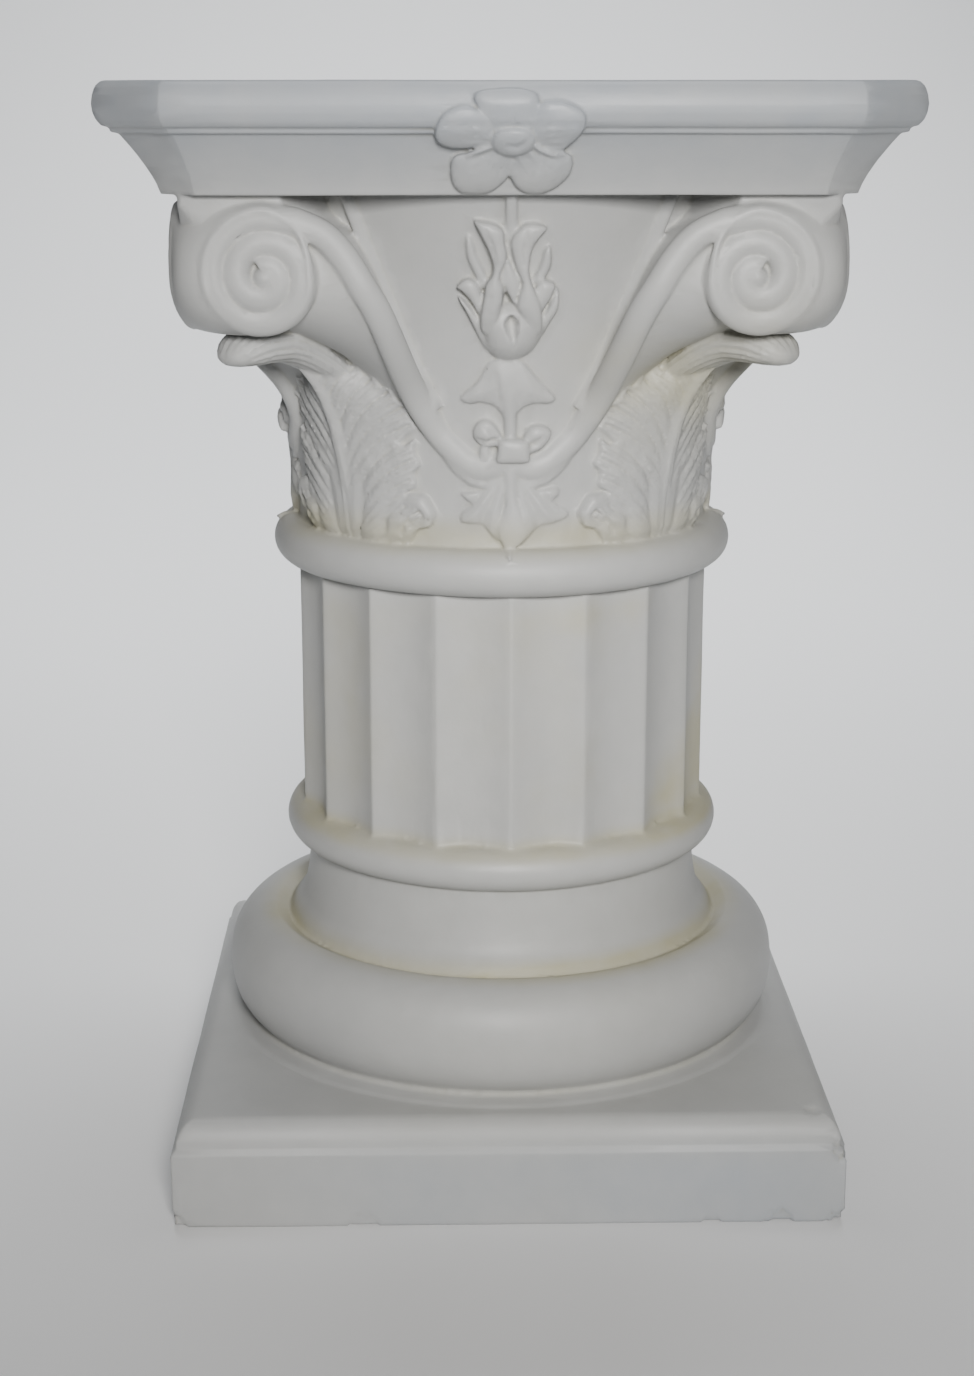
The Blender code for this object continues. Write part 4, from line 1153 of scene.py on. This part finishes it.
def flower_region(scene):
    """A flower of five unlike petals, laid against the abacus and tilted with its hollow."""
    carving, abacus, levels = scene.column_carving, scene.column_abacus, Levels(scene)
    face_half = scene.column_capital.face_half
    relief = Relief(-41.0, 38.0, -31.0, 30.9)
    x, y = relief.across, relief.up
    reach = np.hypot(x, y * 1.25)
    around = np.arctan2(y, x)
    rays = (0.5 - 0.5 * np.cos(around * 34.0)) * smooth(reach, 30.0, 13.0)
    rough = 0.35 * np.sin(x * 1.9 + y * 0.7) * np.sin(y * 1.7 - x * 0.4) * smooth(y, -6.0, -16.0)
    for outline, edge, swell in FLOWER_PETALS:
        relief.patch(outline, edge, swell, 4.5, rays * 1.7 + rough * 1.5)
    relief.bar([(-9, -1.6, 1.6, 6.4), (-15, -4.0, 1.9, 7.4), (-22.5, -7.2, 1.4, 5.4)])
    relief.bar([(8, 0.6, 1.7, 6.6), (13, -4.0, 2.0, 7.4), (19.5, -7.0, 1.6, 6.4), (25.5, -6.2, 1.2, 5.0)])
    relief.bar([(7, -4.0, 1.4, 6.0), (11, -9.5, 1.3, 5.8)])
    relief.bar([(2.5, -7.5, 1.4, 5.6), (5.5, -13.0, 1.2, 5.2)])
    relief.patch([(-10.8, 0.5), (-7.5, 6.2), (0.0, 7.6), (7.0, 6.4), (10.6, 1.0), (8.0, -5.0), (0.0, -7.8),
                  (-7.6, -5.6)],
                 7.4, 4.2, 3.2)
    relief.groove([(-3.0, -1.6, 1.3, 1.3), (1.5, -2.6, 1.7, 1.9), (5.0, -0.6, 1.5, 1.5),
                   (7.5, 2.6, 1.2, 1.0)])
    scale = carving.flower_radius / 0.0325
    petals = relief.height > 0.0
    height = levels.abacus + abacus.height * 0.47 + y * scale * MM * 0.90
    height = np.minimum(height, levels.top - 0.0008)
    share = (height - levels.abacus) / abacus.height
    hollow = np.interp(share, [-0.2, 0.0, 0.25, 0.45, 0.58, 0.66, 0.8, 1.0],
                       [-0.0312, -0.031, -0.0215, -0.0125, -0.0060, -0.0016, 0.0004, -0.0008])
    lift = np.where(petals, (relief.height * 0.9 + 0.6) * MM, -0.020)
    reach = abacus.half + hollow + lift * np.where(share > 0.6, 0.78, 1.0)
    across = x * scale * MM
    front = np.stack([across, -reach, height], axis=-1)
    back = np.stack([across, np.full(x.shape, 0.030 - face_half), height], axis=-1)
    return slab("flower", front, back)


def joined(name, objects):
    """One mesh object from several, which are removed."""
    bm = bmesh.new()
    for obj in objects:
        bm.from_mesh(obj.data)
    mesh = bpy.data.meshes.new(name)
    bm.to_mesh(mesh)
    bm.free()
    for obj in objects:
        bpy.data.objects.remove(obj)
    return new_object(name, mesh)


# Finish


# Where the paint has yellowed, at the neck's crease, the lower ring's top and the bell's foot: each
# band's middle height and spread, then the radii between which it fades out
YELLOW_BANDS = (
    ((0.1225, 0.012), (0.150, 0.134)), ((0.1945, 0.010), (0.131, 0.126)),
    ((0.372, 0.016), (0.135, 0.128)),
)
SHAFT_STAIN = ((0.268, 0.085), (0.122, 0.119))
FACE_STAIN = (0.46, 0.09)
# Painted cool light: a darker bluish grey laid over the abacus, as if a cool sky lit it from above, and in
# drifts on the plinth's lower face.
PAINTED_COOL_LIGHT = (0.345, 0.385, 0.445)
WORN_PAINT = (0.50, 0.50, 0.488)


def plaster_material(scene):
    """Painted plaster: yellowed in the hollows and in patches, with the creases darkened by grey dust and
    painted shade, and a bluish painted cool light on the abacus and low on the plinth.
    """
    s = scene.column_finish
    material = bpy.data.materials.new("painted_plaster")
    material.use_nodes = True
    graph = Graph(material.node_tree)
    place = graph.add("ShaderNodeTexCoord", None, None, out="Object")
    x, y, z = graph.xyz(place)
    named = {"attribute_type": "GEOMETRY", "attribute_name": "crease"}
    crease = graph.add("ShaderNodeAttribute", named, None, out="Fac")

    def noise(scale, detail=4.0, roughness=0.55, seed=0.0):
        return graph.add(
            "ShaderNodeTexNoise", {"noise_dimensions": "4D"},
            {"Vector": place, "W": s.seed + seed, "Scale": scale, "Detail": detail, "Roughness": roughness},
        )

    def blend(amount, first, second):
        settings = {"data_type": "RGBA", "blend_type": "MIX"}
        node = graph.tree.nodes.new("ShaderNodeMix")
        for name, value in settings.items():
            setattr(node, name, value)
        graph.tree.links.new(amount.output, node.inputs[0])
        for value, socket in ((first, node.inputs[6]), (second, node.inputs[7])):
            if isinstance(value, Socket):
                graph.tree.links.new(value.output, socket)
            else:
                socket.default_value = (*value, 1.0)
        return Socket(graph, node.outputs[2])

    patches = noise(7.0).ramp(0.42, 0.66)
    drift = noise(2.6, seed=4.0).ramp(0.40, 0.65)
    speck = noise(60.0, detail=2.0, seed=9.0)
    # How deep a point lies in a crease: it sets the yellowing there, the grey dust and painted shade, and
    # the roughness.
    hollow = crease.ramp(0.05, 0.7)
    deep = crease.ramp(0.25, 1.3)
    radius = (x * x + y * y) ** 0.5
    neck, ring, foot = (z.peak(*height) * radius.ramp(*reach) for height, reach in YELLOW_BANDS)
    shaft = z.peak(*SHAFT_STAIN[0]).ramp(0.0, 0.3) * radius.ramp(*SHAFT_STAIN[1])
    face = z.peak(*FACE_STAIN)
    right = x.ramp(0.0, 0.07)
    yellow = (neck * 1.2 + ring * 0.9 + foot * 0.75 + shaft * patches * (0.3 + right * 0.8)
              + face * patches * right * 0.5 + hollow * 0.3 + drift * 0.10)
    yellow = yellow * (0.55 + patches * 0.6)
    # Painted cool light: the bluish grey covers the abacus, lies in drifts low on the plinth, and a little
    # of it lies everywhere.
    cool = z.ramp(0.54, 0.60) * 0.6 + z.ramp(0.06, 0.03) * 0.8 * drift + 0.1
    base = blend(cool, tuple(s.paint), PAINTED_COOL_LIGHT)
    base = blend(yellow.math("MINIMUM", 0.85), base, tuple(s.stain))
    # Grey dust and painted shade: the creases are darkened, and the deeper they lie, the darker they get.
    base = blend((deep * 0.62 + hollow * 0.16).math("MINIMUM", 0.85), base, tuple(s.dust_and_shade))
    worn = blend((speck - 0.5) * 0.5 + (noise(18.0, seed=2.0) - 0.5) * 0.5 + 0.25, base, WORN_PAINT)
    shader = graph.tree.nodes["Principled BSDF"]
    graph.tree.links.new(worn.output, shader.inputs["Base Color"])
    rough = 0.46 + patches * 0.10 + hollow * 0.14 + (speck - 0.5) * 0.10
    graph.tree.links.new(rough.output, shader.inputs["Roughness"])
    grain = noise(420.0, detail=2.0, seed=5.0) * 0.4 + noise(95.0, detail=3.0, seed=6.0)
    bump = graph.add("ShaderNodeBump", None, {"Strength": 0.12, "Distance": 0.0015, "Height": grain})
    graph.tree.links.new(bump.output, shader.inputs["Normal"])
    return material


CHIPS = (
    # Place, radius and depth of the small losses along the foot
    ((0.183, -0.184, 0.043), 0.007, 0.0022), ((0.150, -0.185, 0.001), 0.009, 0.0016),
    ((0.112, -0.185, 0.0), 0.006, 0.0012), ((-0.184, -0.184, 0.002), 0.008, 0.0018),
    ((0.184, -0.182, 0.0), 0.009, 0.0022), ((-0.08, -0.185, 0.0), 0.010, 0.0010),
    ((0.167, -0.170, 0.059), 0.006, 0.0012), ((0.185, 0.06, 0.0), 0.010, 0.0016),
    ((-0.186, 0.1, 0.0), 0.009, 0.0015),
)


def chip(mesh):
    """Presses the small chips into the plinth's edges."""
    points = np.empty(len(mesh.vertices) * 3, dtype=np.float32)
    normals = np.empty(len(mesh.vertices) * 3, dtype=np.float32)
    mesh.vertices.foreach_get("co", points)
    mesh.vertex_normals.foreach_get("vector", normals)
    points, normals = points.reshape(-1, 3), normals.reshape(-1, 3)
    for number, (place, radius, depth) in enumerate(CHIPS):
        away = points - np.array(place, dtype=np.float32)
        ripple = np.sin(away[:, 0] * 900.0 + number) * np.sin(away[:, 2] * 700.0 + away[:, 1] * 800.0)
        share = np.clip(1.0 - np.linalg.norm(away, axis=1) * (1.0 + 0.25 * ripple) / radius, 0.0, 1.0)
        points -= normals * (depth * np.clip(share * 2.5, 0.0, 1.0))[:, None]
    points[:, 2] = np.maximum(points[:, 2], 0.0)
    mesh.vertices.foreach_set("co", points.reshape(-1))
    mesh.update()


def level_foot(mesh):
    """Lets nothing hang below the floor."""
    points = np.empty(len(mesh.vertices) * 3, dtype=np.float32)
    mesh.vertices.foreach_get("co", points)
    points[2::3] = np.maximum(points[2::3], 0.0)
    mesh.vertices.foreach_set("co", points)
    mesh.update()


def fuse(scene, name, regions, voxel, triangles, material):
    """Fuses regions into one skin, softens it, ages it and thins it."""
    s = scene.column_finish
    skin = joined(name, regions)
    remesh = skin.modifiers.new("fuse", "REMESH")
    remesh.mode = "VOXEL"
    remesh.voxel_size = voxel * 1.0
    remesh.adaptivity = 0.0
    soften = skin.modifiers.new("soften", "SMOOTH")
    soften.factor = 0.5
    soften.iterations = s.softening
    skin = plain(skin)
    chip(skin.data)
    values = {"Unevenness": s.unevenness, "Grain": 14.0, "Seed": s.seed, "Crease Reach": 6,
              "Crease Depth": voxel, "Material": material}
    skin = run_tree(skin, surface_tree(), values)
    count = sum(len(polygon.vertices) - 2 for polygon in skin.data.polygons)
    thin = skin.modifiers.new("thin", "DECIMATE")
    thin.ratio = min(1.0, triangles / count)
    thin.use_collapse_triangulate = True
    return plain(skin)


class COLUMN_OT_casting(bpy.types.Operator):
    """Builds the whole casting: plinth, base, shaft, capital and abacus"""

    bl_idname = "column.casting"
    bl_label = "Build Casting"

    def execute(self, context):
        scene = context.scene
        material = plaster_material(scene)
        copies = copies_tree()
        s = scene.column_finish
        foot = [plinth_region(scene), base_region(scene), shaft_region(scene, material)]
        foot = fuse(scene, "foot", foot, s.foot_voxel, s.foot_triangles, material)
        quarter = [shoulder_region(scene), roll_region(scene), leaf_region(scene), tip_region(scene)]
        quarter += [strap_region(scene, material), *ridge_region(scene, material), garland_region(scene)]
        quarter += [flower_region(scene), *eyes_region(scene)]
        around = joined("quarter", quarter)
        values = {"Copies": 4, "First Angle": 0.0, "Material": material}
        head = [bell_region(scene), abacus_region(scene), run_tree(around, copies, values)]
        head = fuse(scene, "head", head, s.head_voxel, s.head_triangles, material)
        skin = joined(PIECE, [foot, head])
        level_foot(skin.data)
        skin.data.materials.append(material)
        skin.data.shade_smooth()
        low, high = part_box(NODE)
        for corner in skin.bound_box:
            if any(not low[i] - 0.01 < corner[i] < high[i] + 0.01 for i in range(3)):
                raise RuntimeError(f"the casting reaches {tuple(corner)}, outside the part")
        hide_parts(NODE)
        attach(skin, "root")
        return {"FINISHED"}


class COLUMN_OT_stage(bpy.types.Operator):
    """Sets the floor, the lights and the camera"""

    bl_idname = "column.stage"
    bl_label = "Set Stage"

    def execute(self, context):
        scene = context.scene
        s = scene.column_stage
        floor = backdrop()
        camera = bpy.data.cameras.new("camera")
        camera.sensor_fit = "VERTICAL"
        camera.sensor_height = 36.0
        camera.lens = s.lens
        camera.dof.use_dof = False
        view = bpy.data.objects.new("camera", camera)
        scene.collection.objects.link(view)
        turn = Matrix.Rotation(-s.yaw, 4, "Z")
        view.matrix_world = (
            turn
            @ Matrix.Translation((-s.aside, -s.distance, s.height))
            @ Matrix.Rotation(math.pi / 2.0 - s.pitch, 4, "X")
        )
        scene.camera = view
        area_light("key", (0.10, -1.62, 0.86), (0.0, 0.0, 0.31), 0.30, 3.1, 50.0, (1.0, 0.985, 0.965))
        area_light("backdrop", (0.0, 1.0, 3.0), (0.0, 1.9, 0.0), 1.6, 46.0, 100.0, (0.96, 0.98, 1.0))
        world = bpy.data.worlds.new("studio")
        world.use_nodes = True
        sky = world.node_tree.nodes["Background"]
        sky.inputs["Color"].default_value = (0.93, 0.96, 1.0, 1.0)
        sky.inputs["Strength"].default_value = 0.05
        scene.world = world
        return {"FINISHED"}


def backdrop():
    """A pale floor that curves up behind the column."""
    profile = [(-3.0, 0.0), (1.6, 0.0)]
    for angle in np.linspace(0.0, math.pi / 2.0, 16):
        profile.append((1.6 + 1.2 * math.sin(angle), 1.2 - 1.2 * math.cos(angle)))
    profile.append((2.8, 4.5))
    points, faces = [], []
    for i, (depth, height) in enumerate(profile):
        points += [(-6.0, depth, height), (6.0, depth, height)]
        if i:
            faces.append((2 * i - 2, 2 * i - 1, 2 * i + 1, 2 * i))
    floor = new_mesh("floor", points, faces)
    floor.data.shade_smooth()
    material = bpy.data.materials.new("pale_floor")
    material.use_nodes = True
    shader = material.node_tree.nodes["Principled BSDF"]
    shader.inputs["Base Color"].default_value = (0.90, 0.90, 0.90, 1.0)
    shader.inputs["Roughness"].default_value = 0.9
    floor.data.materials.append(material)
    return floor


def area_light(name, place, target, size, power, spread, color):
    """A square light that points at its target, its beam held to so many degrees."""
    light = bpy.data.lights.new(name, "AREA")
    light.energy = power
    light.size = size
    light.spread = math.radians(spread)
    light.color = color
    obj = bpy.data.objects.new(name, light)
    bpy.context.scene.collection.objects.link(obj)
    obj.location = place
    obj.rotation_euler = (Vector(target) - Vector(place)).to_track_quat("-Z", "Y").to_euler()
    return obj


class COLUMN_PT_panel(bpy.types.Panel):
    """Lists the column's settings and what builds it"""

    bl_label = "Decorative Column"
    bl_idname = "COLUMN_PT_panel"
    bl_space_type = "VIEW_3D"
    bl_region_type = "UI"
    bl_category = "Column"

    def draw(self, context):
        layout = self.layout
        for name, kind in SETTINGS.items():
            box = layout.box()
            box.label(text=kind.__doc__)
            group = getattr(context.scene, name)
            for label in kind.__annotations__:
                box.prop(group, label)
        layout.operator(COLUMN_OT_casting.bl_idname)
        layout.operator(COLUMN_OT_stage.bl_idname)


CLASSES = (*SETTINGS.values(), COLUMN_OT_casting, COLUMN_OT_stage, COLUMN_PT_panel)


def register():
    for item in CLASSES:
        bpy.utils.register_class(item)
    for name, kind in SETTINGS.items():
        setattr(bpy.types.Scene, name, PointerProperty(type=kind))


def unregister():
    for name in SETTINGS:
        delattr(bpy.types.Scene, name)
    for item in reversed(CLASSES):
        bpy.utils.unregister_class(item)


def main():
    register()
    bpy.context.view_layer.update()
    bpy.ops.column.casting()
    bpy.ops.column.stage()


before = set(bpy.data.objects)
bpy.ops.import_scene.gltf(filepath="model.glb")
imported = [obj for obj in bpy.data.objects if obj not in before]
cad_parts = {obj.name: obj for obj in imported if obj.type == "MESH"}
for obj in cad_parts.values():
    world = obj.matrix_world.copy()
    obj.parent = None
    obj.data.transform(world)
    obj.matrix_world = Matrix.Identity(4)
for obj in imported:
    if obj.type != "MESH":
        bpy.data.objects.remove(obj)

if __name__ == "__main__":
    main()
